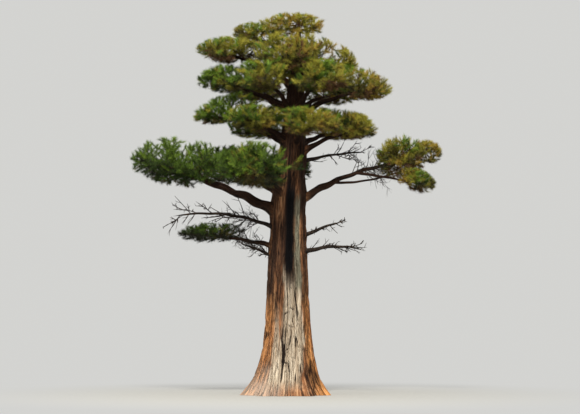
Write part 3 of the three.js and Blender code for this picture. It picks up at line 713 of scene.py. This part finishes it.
def tubes(curves, foot, tip, sides, steps):
    """Corners and faces of round twigs, each running out to a point."""
    foot = np.broadcast_to(foot, (len(curves),))
    turn = 2 * math.pi * np.arange(sides) / sides
    rings = []
    for share in np.linspace(0, 1, steps + 1):
        along = np.full(len(curves), share)
        side, rise = crosswise(curves.tangent(along), nudge=NUDGE)
        thick = lerp(foot, tip, share) if share < 1 else np.full(len(curves), tip * TUBE_END)
        ring = side[:, None] * np.cos(turn)[None, :, None] + rise[:, None] * np.sin(turn)[None, :, None]
        rings.append(curves.point(along)[:, None] + ring * thick[:, None, None])
    corners = np.stack(rings, 1).reshape(-1, 3)
    first = np.arange(len(curves)) * (steps + 1) * sides
    return corners, (ring_quads(steps + 1, sides)[None] + first[:, None, None]).reshape(-1, 4)


def needles_on(name, shoots, draw):
    """Corners and faces of the needles on these shoots, and the shoot that each needle sits on."""
    count = np.maximum(NEEDLE.fewest, np.round(shoots.length() * NEEDLE.per_metre)).astype(int)
    shoot, place = dealt(count)
    share = lerp(NEEDLE.first, 1, (place + draw.random(len(place))) / count[shoot])
    host = shoots.picked(shoot)
    root, tangent = host.point(share), host.tangent(share)
    side, rise = crosswise(tangent, nudge=NUDGE)
    turn = place * NEEDLE.turn + either_way(draw, NEEDLE.stray, len(place))
    out = side * np.cos(turn)[:, None] + rise * np.sin(turn)[:, None]
    splay = lerp(NEEDLE.splay, NEEDLE.close, share**NEEDLE.ease)
    splay = np.radians(splay + NEEDLE.sway * either_way(draw, 1, len(place)))[:, None]
    direction = unit(tangent * np.cos(splay) + out * np.sin(splay) + UP * NEEDLE.lift)
    flat = unit(np.cross(direction, out + either_way(draw, NEEDLE.twist, out.shape)))
    size = NEEDLE.length * draw.uniform(NEEDLE.short, NEEDLE.long, (2, len(place), 1))
    apart = flat * math.tan(math.radians(NEEDLE.part / 2))
    tips = [root + (direction + hand * apart) * size[k] for k, hand in enumerate((-1, 1))]
    keep = (depth_in(spaces[name], tips[0]) < NEEDLE.edge) & (tips[0][:, 2] > NEEDLE.lowest)
    width = flat * NEEDLE.width
    # Five corners to a bundle: the two edges and the middle of its foot, and the two tips.
    corners = np.stack([root - width, tips[0], root, tips[1], root + width], 1)[keep].reshape(-1, 3)
    first = np.arange(keep.sum())[:, None] * 5
    faces = np.stack([first + [0, 2, 1], first + [2, 4, 3]], 1).reshape(-1, 3)
    return corners, faces, np.repeat(shoot[keep], 2)


def tints_of(name, tier, shoots, draw):
    """Which tint each shoot has: painted lighter towards the upper side of its pad, painted darker and
    browner under it.

    Neighbouring shoots look alike, in clumps.
    """
    space = spaces[name]
    waves = draw.normal(0, CLUMP.often, (CLUMP.waves, 2, 3)) @ shoots.end.T
    clumps = np.sin(waves + draw.uniform(0, 2 * math.pi, (CLUMP.waves, 2, 1))).mean(0)
    height = (shoots.end - space.centre) @ space.rise
    above = height > 0
    height = height / np.where(above, space.top, space.bottom)
    # Painted light above the middle of the pad, and painted shade below it.
    light = tier.light + np.where(above, LIGHT.above, LIGHT.below) * height
    light += draw.normal(0, LIGHT.stray, len(shoots)) + CLUMP.light * clumps[1]
    place = (shoots.end[:, 0] - WARM.left) / (WARM.right - WARM.left)
    warm = tier.warm + lerp(WARM.least, WARM.most, place)
    warm += WARM.head * smooth(shoots.end[:, 2], WARM.low, WARM.high)
    # More olive and browner under a pad, as painted shade.
    warm += draw.normal(0, WARM.stray, len(shoots)) - np.where(above, WARM.above, WARM.below) * height
    warm += CLUMP.warm * clumps[0]
    apart = [np.hypot(warm - tint.warm, LIGHT.weight * (light - tint.light)) for tint in TINTS]
    return np.argmin(apart, 0)


def added(name, data):
    """A new object in the scene."""
    thing = bpy.data.objects.new(name, data)
    bpy.context.scene.collection.objects.link(thing)
    return thing


def mesh_object(name, corners, faces, materials, tint=None):
    """An object made from arrays of corners and faces, which all have the same number of sides."""
    mesh = bpy.data.meshes.new(name)
    mesh.vertices.add(len(corners))
    mesh.vertices.foreach_set("co", np.ascontiguousarray(corners, np.float32).ravel())
    mesh.loops.add(faces.size)
    mesh.loops.foreach_set("vertex_index", np.ascontiguousarray(faces, np.int32).ravel())
    mesh.polygons.add(len(faces))
    mesh.polygons.foreach_set("loop_start", np.arange(0, faces.size, faces.shape[1], dtype=np.int32))
    for material in materials:
        mesh.materials.append(material)
    if tint is not None:
        mesh.polygons.foreach_set("material_index", np.ascontiguousarray(tint, np.int32))
    mesh.polygons.foreach_set("use_smooth", np.full(len(faces), True))
    mesh.update(calc_edges=True)
    piece = added(name, mesh)
    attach(piece, "root")
    return piece


def give(piece, name, values):
    """Gives each corner a number, or a place of three, for the material to read under this name."""
    kind, key = ("FLOAT_VECTOR", "vector") if values.ndim > 1 else ("FLOAT", "value")
    data = piece.data.attributes.new(name, kind, "POINT").data
    data.foreach_set(key, values.astype(np.float32).ravel())


class Shading:
    """A material whose nodes are put in one by one."""

    def __init__(self, name):
        self.material = bpy.data.materials.new(name)
        self.material.use_nodes = True
        self.tree = self.material.node_tree
        self.shader = self.tree.nodes["Principled BSDF"]
        self.output = self.tree.nodes["Material Output"]

    def put(self, kind, inputs=None, **settings):
        """Adds a node. An input is either another node's output, which is linked, or a value."""
        node = self.tree.nodes.new("ShaderNode" + kind)
        for key, value in settings.items():
            setattr(node, key, value)
        for key, value in (inputs or {}).items():
            self.feed(node.inputs[key], value)
        return node

    def feed(self, socket, value):
        if isinstance(value, bpy.types.NodeSocket):
            self.tree.links.new(value, socket)
        else:
            socket.default_value = value

    def finish(self, colour, roughness, gloss):
        sockets = {"Base Color": colour, "Roughness": roughness, "Specular IOR Level": gloss}
        for name, value in sockets.items():
            self.feed(self.shader.inputs[name], value)

    def noise(self, place, scale, detail, roughness):
        """Noise over a place, which is stretched by the scale of each axis."""
        vector = self.put("Mapping", {"Vector": place, "Scale": scale}).outputs["Vector"]
        inputs = {"Vector": vector, "Scale": 1.0, "Detail": detail, "Roughness": roughness}
        return self.put("TexNoise", inputs).outputs["Fac"]

    def speckle(self, look):
        """Noise over the object's own coordinates."""
        place = self.put("TexCoord").outputs["Object"]
        return self.noise(place, (look.scale, look.scale, look.scale), look.detail, look.roughness)

    def grain(self, name):
        """The noise of this name, on a limb's skin."""
        row = NOISES[name]
        place = self.put("Attribute", attribute_name="grain").outputs["Vector"]
        return self.noise(place, (row.around, row.around, row.along), row.detail, row.roughness)

    def ramp(self, value, name):
        """A colour for each value, from the ramp of this name."""
        stops = RAMPS[name]
        node = self.put("ValToRGB", {"Fac": value})
        elements = node.color_ramp.elements
        while len(elements) < len(stops):
            elements.new(0.5)
        for element, (place, colour) in zip(elements, stops):
            element.position = place
            element.color = linear(colour)
        return node.outputs["Color"]

    def mix(self, share, first, second):
        node = self.put("Mix", data_type="RGBA")
        for socket, value in ((0, share), (6, first), (7, second)):
            self.feed(node.inputs[socket], value)
        return node.outputs[2]

    def under(self, colour, *layers):
        """A colour with tones laid over it, each by its share."""
        for share, tone in layers:
            colour = self.mix(share, colour, linear(TONES[tone]))
        return colour

    def range(self, value, low, high, start=0.0, end=1.0, **settings):
        inputs = {"Value": value, "From Min": low, "From Max": high, "To Min": start, "To Max": end}
        return self.put("MapRange", inputs, **settings).outputs["Result"]

    def times(self, first, second):
        return self.put("Math", {0: first, 1: second}, operation="MULTIPLY").outputs[0]

    def creases(self, field, half):
        """Thin wandering lines, 1 where a field of noise passes through its middle and 0 beside it."""
        below = self.range(field, 0.5 - half, 0.5, 0.0, 1.0)
        above = self.range(field, 0.5, 0.5 + half, 1.0, 0.0)
        return self.times(below, above)

    def attribute(self, name):
        return self.put("Attribute", attribute_name=name).outputs["Fac"]

    def relief(self, *layers):
        """Bumps laid over each other, each with the strength and depth of its look. Less than 0 cuts in."""
        below = {}
        for height, look in layers:
            inputs = {"Strength": look.strength, "Distance": abs(look.depth), "Height": height, **below}
            below = {"Normal": self.put("Bump", inputs, invert=look.depth < 0).outputs["Normal"]}
        self.feed(self.shader.inputs["Normal"], below["Normal"])


def bark_material():
    """Cinnamon bark in long strips, bleached wood where the bark is gone, and the dark groove, with painted
    light on the trunk's sides and painted shade in the groove, the creases and cracks, and over the trunk
    and boughs.
    """
    made = Shading("bark")
    streaks, fibres, rings = made.grain("streaks"), made.grain("fibres"), made.grain("rings")
    furrows = made.creases(made.grain("furrows"), FURROW.half)
    splits = made.creases(made.grain("splits"), SPLIT.half)
    plain = made.mix(BARK.patchy, made.ramp(streaks, "strips"), made.ramp(made.grain("patches"), "brown"))
    bark = made.under(
        # Painted light: the trunk's sides are painted a brighter orange.
        made.mix(made.attribute("fresh"), plain, made.ramp(streaks, "fresh")),
        (made.range(fibres, FIBRE.middle, FIBRE.light, 0.0, FIBRE.lightest), "fibre_light"),
        (made.range(fibres, FIBRE.middle, FIBRE.dark, 0.0, FIBRE.darkest), "fibre_dark"),
        # Painted shade in the splits and furrows, and between the bark plates.
        (made.times(splits, SPLIT.dark), "split"),
        (made.times(furrows, FURROW.dark), "furrow"),
        (made.range(made.attribute("ridge"), 0.0, BARK.plate, BARK.between, 0.0), "between"),
        (made.attribute("dust"), "dust"),
        # Painted shade over the trunk and the boughs.
        (made.attribute("shade"), "shade"),
    )
    crack = made.times(made.attribute("crack"), fibres)
    wood = made.under(
        made.ramp(rings, "wood"),
        # Painted shade in the splits and cracks of the bare wood.
        (made.times(splits, SPLIT.dark_on_wood), "wood_split"),
        (made.range(crack, BARK.crack_low, BARK.crack_high), "crack"),
    )
    bark_or_wood = made.mix(made.attribute("bare"), bark, wood)
    colour = made.mix(made.attribute("pale"), bark_or_wood, made.ramp(rings, "lichen"))
    # Painted shade: the groove is painted near black.
    colour = made.under(colour, (made.attribute("groove"), "groove"))
    made.finish(colour, made.range(fibres, *BARK_ROUGH), BARK.gloss)
    made.relief((furrows, FURROW), (splits, SPLIT), (fibres, FIBRE))
    return made.material


def dead_wood_material():
    """Dark grey-brown wood without bark."""
    made = Shading("dead_wood")
    specks = made.speckle(DEAD_WOOD)
    made.finish(made.ramp(specks, "dead"), made.range(specks, *DEAD_ROUGH), DEAD_WOOD.gloss)
    made.relief((specks, DEAD_WOOD))
    return made.material


def plain_material(name, colour, roughness, gloss):
    made = Shading(name)
    made.finish(linear(colour), roughness, gloss)
    return made.material


def ring_noise(draw, azimuth, height, columns, rows):
    """Smooth noise from 0 to 1 on a limb's skin. azimuth runs round it, and height from 0 to 1 up it."""
    lattice = draw.random((rows + 2, columns))
    x = (azimuth % 360) / 360 * columns
    y = np.clip(height, 0, 1) * rows
    column, row = np.floor(x).astype(int), np.floor(y).astype(int)
    aside, up = smooth(x - column, 0, 1), smooth(y - row, 0, 1)
    left, right = column % columns, (column + 1) % columns
    below = lerp(lattice[row, left], lattice[row, right], aside)
    above = lerp(lattice[row + 1, left], lattice[row + 1, right], aside)
    return lerp(below, above, up)


def plates(draw, azimuth, height, columns, rows):
    """Bark plates: 1 on a plate and 0 in the furrows between them."""
    wander = (ring_noise(draw, azimuth, height, PLATES.columns, rows) - 0.5) * PLATES.wander * 360 / columns
    field = ring_noise(draw, azimuth + wander, height, columns, rows)
    return smooth(np.abs(2 * field - 1), PLATES.low, PLATES.high)


def cracks(draw, azimuth, height):
    """1 in the long cracks down the bare wood and the short ones across it, and 0 beside them."""
    share = height / TRUNK.height
    found = np.zeros_like(azimuth)
    for line in CRACK_LINES:
        stray = (ring_noise(draw, azimuth * 0, share, 1, CRACKS.bends) - 0.5) * CRACKS.stray
        swell = ring_noise(draw, azimuth * 0, share, 1, CRACKS.breaks)
        wide = line.width * lerp(line.least, CRACKS.widest, swell)
        away = np.abs(azimuth - line.azimuth - stray)
        within = (1 - smooth(away, wide * CRACKS.inner, wide * CRACKS.outer)) * (wide > 0)
        found = np.maximum(found, within)
    for k in range(CROSSES.count):
        level = lerp(CROSSES.low, CROSSES.high, (k + draw.random()) / CROSSES.count)
        aside = azimuth - CROSSES.azimuth - CROSSES.spread * draw.uniform(-1, 1)
        away = np.abs(height - level - aside * CROSSES.slope * draw.uniform(-1, 1))
        along = 1 - smooth(np.abs(aside), CROSSES.half * CROSSES.core, CROSSES.half)
        within = along * (1 - smooth(away, CROSSES.thick * CROSSES.heart, CROSSES.thick))
        found = np.maximum(found, CROSSES.dark * within)
    return found


def skin_faces(rows, columns):
    """The faces of a closed skin whose corners are rings, then the middle of its foot and of its top."""
    i = np.arange(columns)
    after = (i + 1) % columns
    foot, top = np.full(columns, rows * columns), np.full(columns, rows * columns + 1)
    last = (rows - 1) * columns
    caps = [np.stack([after, i, foot], 1), np.stack([last + i, last + after, top], 1)]
    return np.concatenate([halved(ring_quads(rows, columns)), *caps])


def limb_mouths(limbs):
    """Where each limb comes out of the trunk: its height, azimuth and radius there."""
    mouths = []
    for curve, foot in limbs:
        share = 0
        while not clear_of_trunk(curve.point([share]), 0)[0]:
            share += MOUTH.step
        place = curve.point(share)
        mouths.append((place[0, 2], azimuth_of(place - trunk_axis(place[:, 2]))[0], foot))
    return mouths


def on_strip(azimuth, height, strip):
    """1 on a strip up the trunk and 0 beside it."""
    across = smooth(nearness(azimuth, strip.azimuth, strip.width), strip.faint, STRIPS.solid)
    return across * span(height, strip.low, strip.full, strip.fading, strip.high)


def bare_wood(azimuth, height, ragged):
    """1 on the bleached wood without bark, in one broad strip and a second narrow one."""
    middle = lerp(BARE.foot, BARE.azimuth, smooth(height, 0, BARE.turn))
    apart = np.abs(turned(azimuth, middle)) + ragged
    width = BARE.width - BARE.narrow * smooth(height, BARE.wide_to, BARE.narrow_from)
    rising = smooth(height, BARE.low, BARE.low + BARE.ease)
    ending = 1 - smooth(height + ragged / RAGGED.per_metre, BARE.high - BARE.ease, BARE.high + BARE.ease)
    bare = (1 - smooth(apart, width - BARE.soft, width + BARE.soft)) * rising * ending
    return np.maximum(bare, STRIPS.second * on_strip(azimuth + ragged * RAGGED.second, height, SECOND))


def trunk_places(draw, azimuth, height):
    """What the trunk's skin is like at each place, every quality from 0 to 1, and how far it lumps out."""
    share = height / TRUNK.height
    strips = plates(draw, azimuth, share, SKIN.columns, SKIN.rows)
    slivers = plates(draw, azimuth, share, SKIN.columns * SKIN.finer_columns, SKIN.rows * SKIN.finer_rows)
    ragged = (ring_noise(draw, azimuth, share, RAGGED.columns, RAGGED.rows) - 0.5) * RAGGED.far
    lumps = (ring_noise(draw, azimuth, share, LUMPS.columns, LUMPS.rows) - 0.5) * LUMPS.high
    bare = bare_wood(azimuth, height, ragged)
    # Painted shade in the groove.
    groove = on_strip(azimuth + ragged * RAGGED.groove, height, SHADED_GROOVE)
    pale = on_strip(azimuth + ragged * RAGGED.second, height, PALE) * (1 - groove)
    crack = cracks(draw, azimuth, height) * bare
    settled = 1 - smooth(height + ragged / DUST.per_metre, DUST.low, DUST.high)
    # Painted light on the two sides of the trunk, in brighter orange.
    right = lerp(PAINTED_SIDE_LIGHT.foot, PAINTED_SIDE_LIGHT.right, smooth(height, PAINTED_SIDE_LIGHT.turn_low, PAINTED_SIDE_LIGHT.turn_high))
    fresh = nearness(azimuth, PAINTED_SIDE_LIGHT.left, PAINTED_SIDE_LIGHT.width) + nearness(azimuth, right, PAINTED_SIDE_LIGHT.width)
    streak = ring_noise(draw, azimuth, share, STREAK.columns, STREAK.rows)
    strength = lerp(STREAK.least, STREAK.most, smooth(height, STREAK.low, STREAK.high))
    streak = smooth(streak, STREAK.faint, STREAK.solid) * strength
    # Painted shade: darker at the two sides, towards the top and in streaks.
    sides = nearness(azimuth, SHADE.right, SHADE.width)
    sides = sides + nearness(azimuth, SHADE.left, SHADE.width) * SHADE.left_strength
    sides = sides * smooth(height, SHADE.foot, SHADE.full)
    shade = smooth(height, SHADE.low, SHADE.high) * SHADE.top + SHADE.sides * sides + streak
    return lumps, {
        "ridge": (strips + SKIN.fine * slivers) / (1 + SKIN.fine),
        "bare": bare,
        "groove": groove,
        "pale": pale,
        "crack": crack,
        "dust": DUST.strength * settled * nearness(azimuth, DUST.azimuth, DUST.width),
        "fresh": np.clip(fresh, 0, 1) * (1 - smooth(height, PAINTED_SIDE_LIGHT.low, PAINTED_SIDE_LIGHT.high)),
        "shade": np.clip(shade, 0, SHADE.most),
    }


def trunk_piece(material, mouths):
    """The trunk's skin with its bark plates, and the places of its bare wood, its pale strip, the painted
    shade of its groove, and its other painted light and shade.
    """
    height = TRUNK.height * np.linspace(0, 1, SKIN.up) ** SKIN.crowding
    azimuth = 360 * np.arange(SKIN.around) / SKIN.around
    height, azimuth = np.meshgrid(height, azimuth, indexing="ij")
    share = height / TRUNK.height
    lumps, places = trunk_places(seeded("trunk bark"), azimuth, height)
    bare = places["bare"]
    deep = SKIN.deep * lerp(1.0, SKIN.top, share) * (1 - BARE.smoother * bare)
    deep = deep * (1 - STRIPS.dark_smoother * places["groove"])
    radius = trunk_radius(height, azimuth) + (places["ridge"] - SKIN.level) * deep + lumps * (1 - share)
    radius = radius - BARE.sunk * bare - CRACKS.deep * places["crack"]
    for level, at, foot in mouths:
        aside = np.radians(turned(azimuth, at)) * radius
        radius = radius + foot * MOUTH.rise * bell(np.hypot(aside, height - level) / (foot * MOUTH.spread))
    points = trunk_axis(height) + heading(azimuth) * radius[..., None]
    middles = trunk_axis(np.array([0, TRUNK.height]))
    corners = np.concatenate([points.reshape(-1, 3), middles])
    piece = mesh_object("trunk_bark", corners, skin_faces(SKIN.up, SKIN.around), [material])
    for name, values in places.items():
        give(piece, name, np.append(values.ravel(), [0, 0]))
    grain = heading(azimuth) * TRUNK.radius + UP * height[..., None]
    give(piece, "grain", np.concatenate([grain.reshape(-1, 3), middles]))
    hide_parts("trunk")
    return piece


def limb_skin(name, curve, foot, tip, collar=LIMB.collar):
    """A limb's corners, faces, ridges and grain.

    It swells where it starts, and has bark plates, knots and a wandering middle line.
    """
    draw = seeded(name + " bark")
    length = float(curve.length()[0])
    rows = max(LIMB.fewest, round(length / LIMB.spacing))
    along = np.linspace(0, 1, rows)
    share, azimuth = np.meshgrid(along, 360 * np.arange(LIMB.sides) / LIMB.sides, indexing="ij")
    thick = lerp(foot, tip, along)
    centre, tangent = curve.point(along), curve.tangent(along)
    side, rise = crosswise(tangent, nudge=[0, NUDGE, 0])
    waves = 2 * math.pi * (along * length / LIMB.wave + draw.random(2)[:, None])
    easing = smooth(along * length, LIMB.straight, LIMB.wandering) * (1 - smooth(along, LIMB.steady, 1))
    stray = side * np.sin(waves[0])[:, None] + rise * np.sin(waves[1] * LIMB.quicker)[:, None]
    centre = centre + stray * (thick * LIMB.wander * easing)[:, None]
    plate_rows = max(LIMB.fewest_plates, round(length / LIMB.plates))
    ridge = plates(draw, azimuth, share, LIMB.columns, plate_rows)
    knot_rows = max(LIMB.fewest_knots, round(length / LIMB.knot_length))
    knots = (ring_noise(draw, azimuth, share, LIMB.knot_columns, knot_rows) - 0.5) * 2
    swell = 1 + collar * bell(along * length / LIMB.within)
    closing = 1 - LIMB.close * smooth(along, LIMB.closes, 1)
    uneven = 1 + LIMB.deep * (ridge - LIMB.level) + LIMB.knots * knots
    radius = (thick * swell * closing)[:, None] * uneven
    turn = np.radians(azimuth)[..., None]
    outward = side[:, None] * np.cos(turn) + rise[:, None] * np.sin(turn)
    points = centre[:, None] + outward * radius[..., None]
    offset = draw.uniform(0, LIMB.grain_apart)
    grain = heading(azimuth) * (foot + tip) + UP * (share * length + offset)[..., None]
    return Values(
        corners=np.concatenate([points.reshape(-1, 3), centre[[0, -1]]]),
        faces=skin_faces(rows, LIMB.sides),
        ridge=np.append(ridge.ravel(), [LIMB.end_ridge, LIMB.end_ridge]),
        grain=np.concatenate([grain.reshape(-1, 3), UP * np.array([[offset], [offset + length]])]),
    )


def bough_piece(limbs, material):
    """The skins of all the boughs, with painted shade away from the trunk and the groove's painted shade
    where they cross it.
    """
    skins = [limb_skin(name, limb.curve, limb.foot, limb.tip, limb.collar) for name, limb in limbs.items()]
    corners, faces = together([(skin.corners, skin.faces) for skin in skins])
    piece = mesh_object("bough_bark", corners, faces, [material])
    give(piece, "ridge", np.concatenate([skin.ridge for skin in skins]))
    give(piece, "grain", np.concatenate([skin.grain for skin in skins]))
    away = corners - trunk_axis(corners[:, 2])
    azimuth = azimuth_of(away)
    proud = np.hypot(away[:, 0], away[:, 1]) - trunk_radius(corners[:, 2], azimuth)
    # Painted shade on the boughs, and the groove's painted shade where they cross it.
    far = smooth(proud, BOUGH_SHADE.close, BOUGH_SHADE.away)
    give(piece, "shade", lerp(BOUGH_SHADE.near, BOUGH_SHADE.far, far))
    give(piece, "groove", on_strip(azimuth, corners[:, 2], SHADED_GROOVE) * (proud < BOUGH_SHADE.groove))
    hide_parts(*(f"bough_{pad.name}" for pad in PADS))
    return piece


def dead_limb_parts(row):
    """A bare limb's curve, and its twigs by the solids' rule with their radii."""
    end = trunk_axis(row.end) + heading(row.azimuth) * row.reach
    curve = limb_curve(trunk_axis(row.fork), end, row.arch)
    draw = stream(row.name)
    starts, ends, feet = [], [], []
    for k in range(row.twigs):
        share = lerp(DEAD_TWIG.first, DEAD_TWIG.last, k / (row.twigs - 1))
        tangent = curve.tangent(share)[0]
        side, rise = crosswise(tangent)
        aside = (1 if k % 2 else -1) * lerp(DEAD_TWIG.out, 1, next(draw))
        direction = unit(tangent + side * aside + rise * lerp(DEAD_TWIG.down, DEAD_TWIG.up, next(draw)))
        length = row.reach * DEAD_TWIG.reach * lerp(DEAD_TWIG.shortest, 1, next(draw))
        starts.append(curve.point(share)[0])
        ends.append(starts[-1] + direction * length)
        feet.append(row.girth * lerp(1, BOUGH.tip, share) * DEAD_TWIG.girth)
    twigs = bent(np.array(starts), np.array(ends), seeded(row.name + " bend"), BARE_TWIGS.bend)
    return curve, twigs, np.array(feet)


def bare_side_twigs(curves, draw, order, first=BARE_FINER.first, last=BARE_FINER.last):
    """Bare side twigs on bare twigs."""
    parent = np.repeat(np.arange(len(curves)), order.count)
    share = draw.uniform(first, last, len(parent))
    host = curves.picked(parent)
    size = host.length() * order.length * draw.uniform(BARE_FINER.least, 1, len(parent))
    start, tangent = host.point(share), host.tangent(share)
    stray = unit(draw.normal(0, 1, start.shape))
    end = start + unit(tangent + stray * BARE_FINER.stray) * size[:, None]
    return bent(start, end, draw, order.bend)


def triangle_tubes(curves, foot, shape):
    """Corners and three-sided faces of twigs with this tip and these sides and steps."""
    corners, quads = tubes(curves, foot, shape.tip, shape.sides, shape.steps)
    return corners, halved(quads)


def dead_piece(row, material):
    """A bare limb with its twigs."""
    curve, twigs, feet = dead_limb_parts(row)
    draw = seeded(row.name + " twigs")
    limb = limb_skin(row.name, curve, row.girth, row.girth * BARE_TWIGS.blunt)
    second = joined([bare_side_twigs(twigs, draw, ON_TWIGS), bare_side_twigs(curve, draw, ON_LIMB)])
    third = bare_side_twigs(second, draw, FINEST)
    corners, faces = together([
        (limb.corners, limb.faces),
        triangle_tubes(twigs, feet, BARE_TWIGS),
        triangle_tubes(second, ON_TWIGS.foot, ON_TWIGS),
        triangle_tubes(third, FINEST.foot, FINEST),
    ])
    piece = mesh_object(row.name + "_wood", corners, faces, [material])
    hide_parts(row.name)
    return piece


def tangle_piece(curves, material):
    """The tangles of bare twigs, on the curves of the limbs that bear them."""
    parts = []
    for row in TANGLES:
        curve = curves[row.limb]
        draw = seeded(row.limb + " tangle")
        shape = BareOrder(row.count, row.length / curve.length()[0], **vars(TANGLE_FIRST))
        twigs = bare_side_twigs(curve, draw, shape, row.first, row.last)
        parts.append(triangle_tubes(twigs, shape.foot, shape))
        for order in TANGLE_ORDERS:
            twigs = bare_side_twigs(twigs, draw, order)
            parts.append(triangle_tubes(twigs, order.foot, order))
    piece = mesh_object("tangle_wood", *together(parts), [material])
    return piece


def grow_pad(name, limb, tier):
    """A pad's twigs and needles as arrays, and the tint of each of their faces."""
    draw = seeded(name)
    first, feet = branches(name, limb)
    middle = limb.curve.point((limb.enter + 1) / 2)
    stem = Curves(limb.curve.point(limb.enter), middle, limb.curve.end)
    between = finer(name, stem, BETWEEN, draw, tier.crowd)
    second = joined([finer(name, parents, SIDE, draw) for parents in (first, between, stem)])
    third = joined([finer(name, parents, SHOOT, draw) for parents in (second, first, between)])
    tips = [tip_of(second, NEEDLED.side), tip_of(first, NEEDLED.branch), tip_of(between, NEEDLED.branch)]
    shoots = joined([third, *tips])
    needles, faces, shoot = needles_on(name, shoots, draw)
    tint = tints_of(name, tier, shoots, draw)[shoot]
    orders = [(first, feet, BRANCH), (between, BETWEEN.girth, BETWEEN), (second, SIDE.girth, SIDE),
              (third, SHOOT.girth, SHOOT)]
    wood, colours = [], []
    for twigs, foot, rule in orders:
        wood.append(tubes(twigs, foot, rule.tip, rule.sides, rule.steps))
        colour = draw.integers(0, len(TWIG_COLOURS), len(twigs))
        colours.append(np.repeat(colour, rule.sides * rule.steps))
    wood_tint = np.concatenate(colours)
    return Values(wood=together(wood), wood_tint=wood_tint, needles=(needles, faces), tint=tint)


def dress():
    """Puts the bark, bare wood, twigs and needles in the place of the solids."""
    bark, dead = bark_material(), dead_wood_material()
    tints = [plain_material(tint.name, tint.colour, FINISH.needle_roughness, FINISH.needle_gloss)
             for tint in TINTS]
    twig_woods = [plain_material(name, colour, FINISH.twig_roughness, FINISH.twig_gloss)
                  for name, colour in TWIG_COLOURS.items()]
    limbs = bough_limbs()
    curves = {name: limb.curve for name, limb in limbs.items()}
    curves.update({row.name: dead_limb_parts(row)[0] for row in DEAD_LIMBS})
    from_trunk = [pad for pad in PADS if not pad.parent] + DEAD_LIMBS
    trunk_piece(bark, limb_mouths([(curves[row.name], row.girth) for row in from_trunk]))
    bough_piece(limbs, bark)
    for row in DEAD_LIMBS:
        dead_piece(row, dead)
    tangle_piece(curves, dead)
    for tier_name, tier in TIERS.items():
        pads = [grow_pad(name, limbs[name], tier) for name in tier.pads]
        nodes = [f"foliage_{name}" for name in tier.pads]
        corners, faces = together([pad.needles for pad in pads])
        tint = np.concatenate([pad.tint for pad in pads])
        needles = mesh_object(f"needles_{tier_name}", corners, faces, tints, tint)
        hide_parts(*nodes)
        corners, faces = together([pad.wood for pad in pads])
        tint = np.concatenate([pad.wood_tint for pad in pads])
        twigs = mesh_object(f"twigs_{tier_name}", corners, faces, twig_woods, tint)
        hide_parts(*nodes)


def floor_material():
    """Pale ground that fades into the light of the air with its distance from the tree."""
    made = Shading("floor")
    place = made.put("TexCoord").outputs["Object"]
    away = made.put("VectorMath", {0: place}, operation="LENGTH").outputs["Value"]
    fade = made.range(away, FLOOR.near, FLOOR.far, interpolation_type="SMOOTHSTEP")
    colour = made.mix(made.speckle(FLOOR), linear(FLOOR.colour), linear(FLOOR.grain))
    made.feed(made.shader.inputs["Base Color"], colour)
    made.feed(made.shader.inputs["Roughness"], FLOOR.rough)
    air = made.put("Emission", {"Color": linear(WORLD.colour), "Strength": WORLD.strength})
    blend = made.put("MixShader", {0: fade, 1: made.shader.outputs[0], 2: air.outputs[0]})
    made.feed(made.output.inputs["Surface"], blend.outputs[0])
    return made.material


def stage():
    """A wide pale floor that fades into the pale air round it."""
    world = bpy.data.worlds.new("air")
    world.use_nodes = True
    inputs = world.node_tree.nodes["Background"].inputs
    inputs["Color"].default_value = linear(WORLD.colour)
    inputs["Strength"].default_value = WORLD.strength
    bpy.context.scene.world = world
    ring = heading(np.arange(0, 360, FLOOR.step)) * FLOOR.radius
    mesh = bpy.data.meshes.new("floor")
    mesh.from_pydata([tuple(point) for point in ring], [], [tuple(range(len(ring)))])
    mesh.materials.append(floor_material())
    floor = added("floor", mesh)
    floor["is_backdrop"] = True


def aim(thing, place, target):
    thing.location = place
    away = Vector(place) - Vector(target)
    thing.rotation_euler = away.to_track_quat("Z", "Y").to_euler()


def light():
    """Soft lamps, the stronger one from high in front."""
    for name, lamp in LAMPS.items():
        data = bpy.data.lights.new(name, "AREA")
        data.shape = "DISK"
        data.size = lamp.size
        data.energy = lamp.power
        data.color = lamp.colour
        aim(added(name, data), lamp.place, LAMPS_AIM)


def photograph():
    """The camera, far off and nearly level, with the tree filling its height."""
    data = bpy.data.cameras.new("camera")
    data.sensor_width = CAMERA.sensor
    wide = CAMERA.tall * CAMERA.frame[0] / CAMERA.frame[1]
    data.lens = CAMERA.sensor * CAMERA.distance / wide
    data.clip_end = CAMERA.clip
    camera = added("camera", data)
    aim(camera, (CAMERA.aim[0], -CAMERA.distance, CAMERA.height), CAMERA.aim)
    bpy.context.scene.camera = camera


dress()
stage()
light()
photograph()
bpy.context.scene.view_settings.view_transform = "Standard"

boxes = {"cad": cad_box, "visual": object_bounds()}
{name: [list(corner) for corner in box] for name, box in boxes.items()}
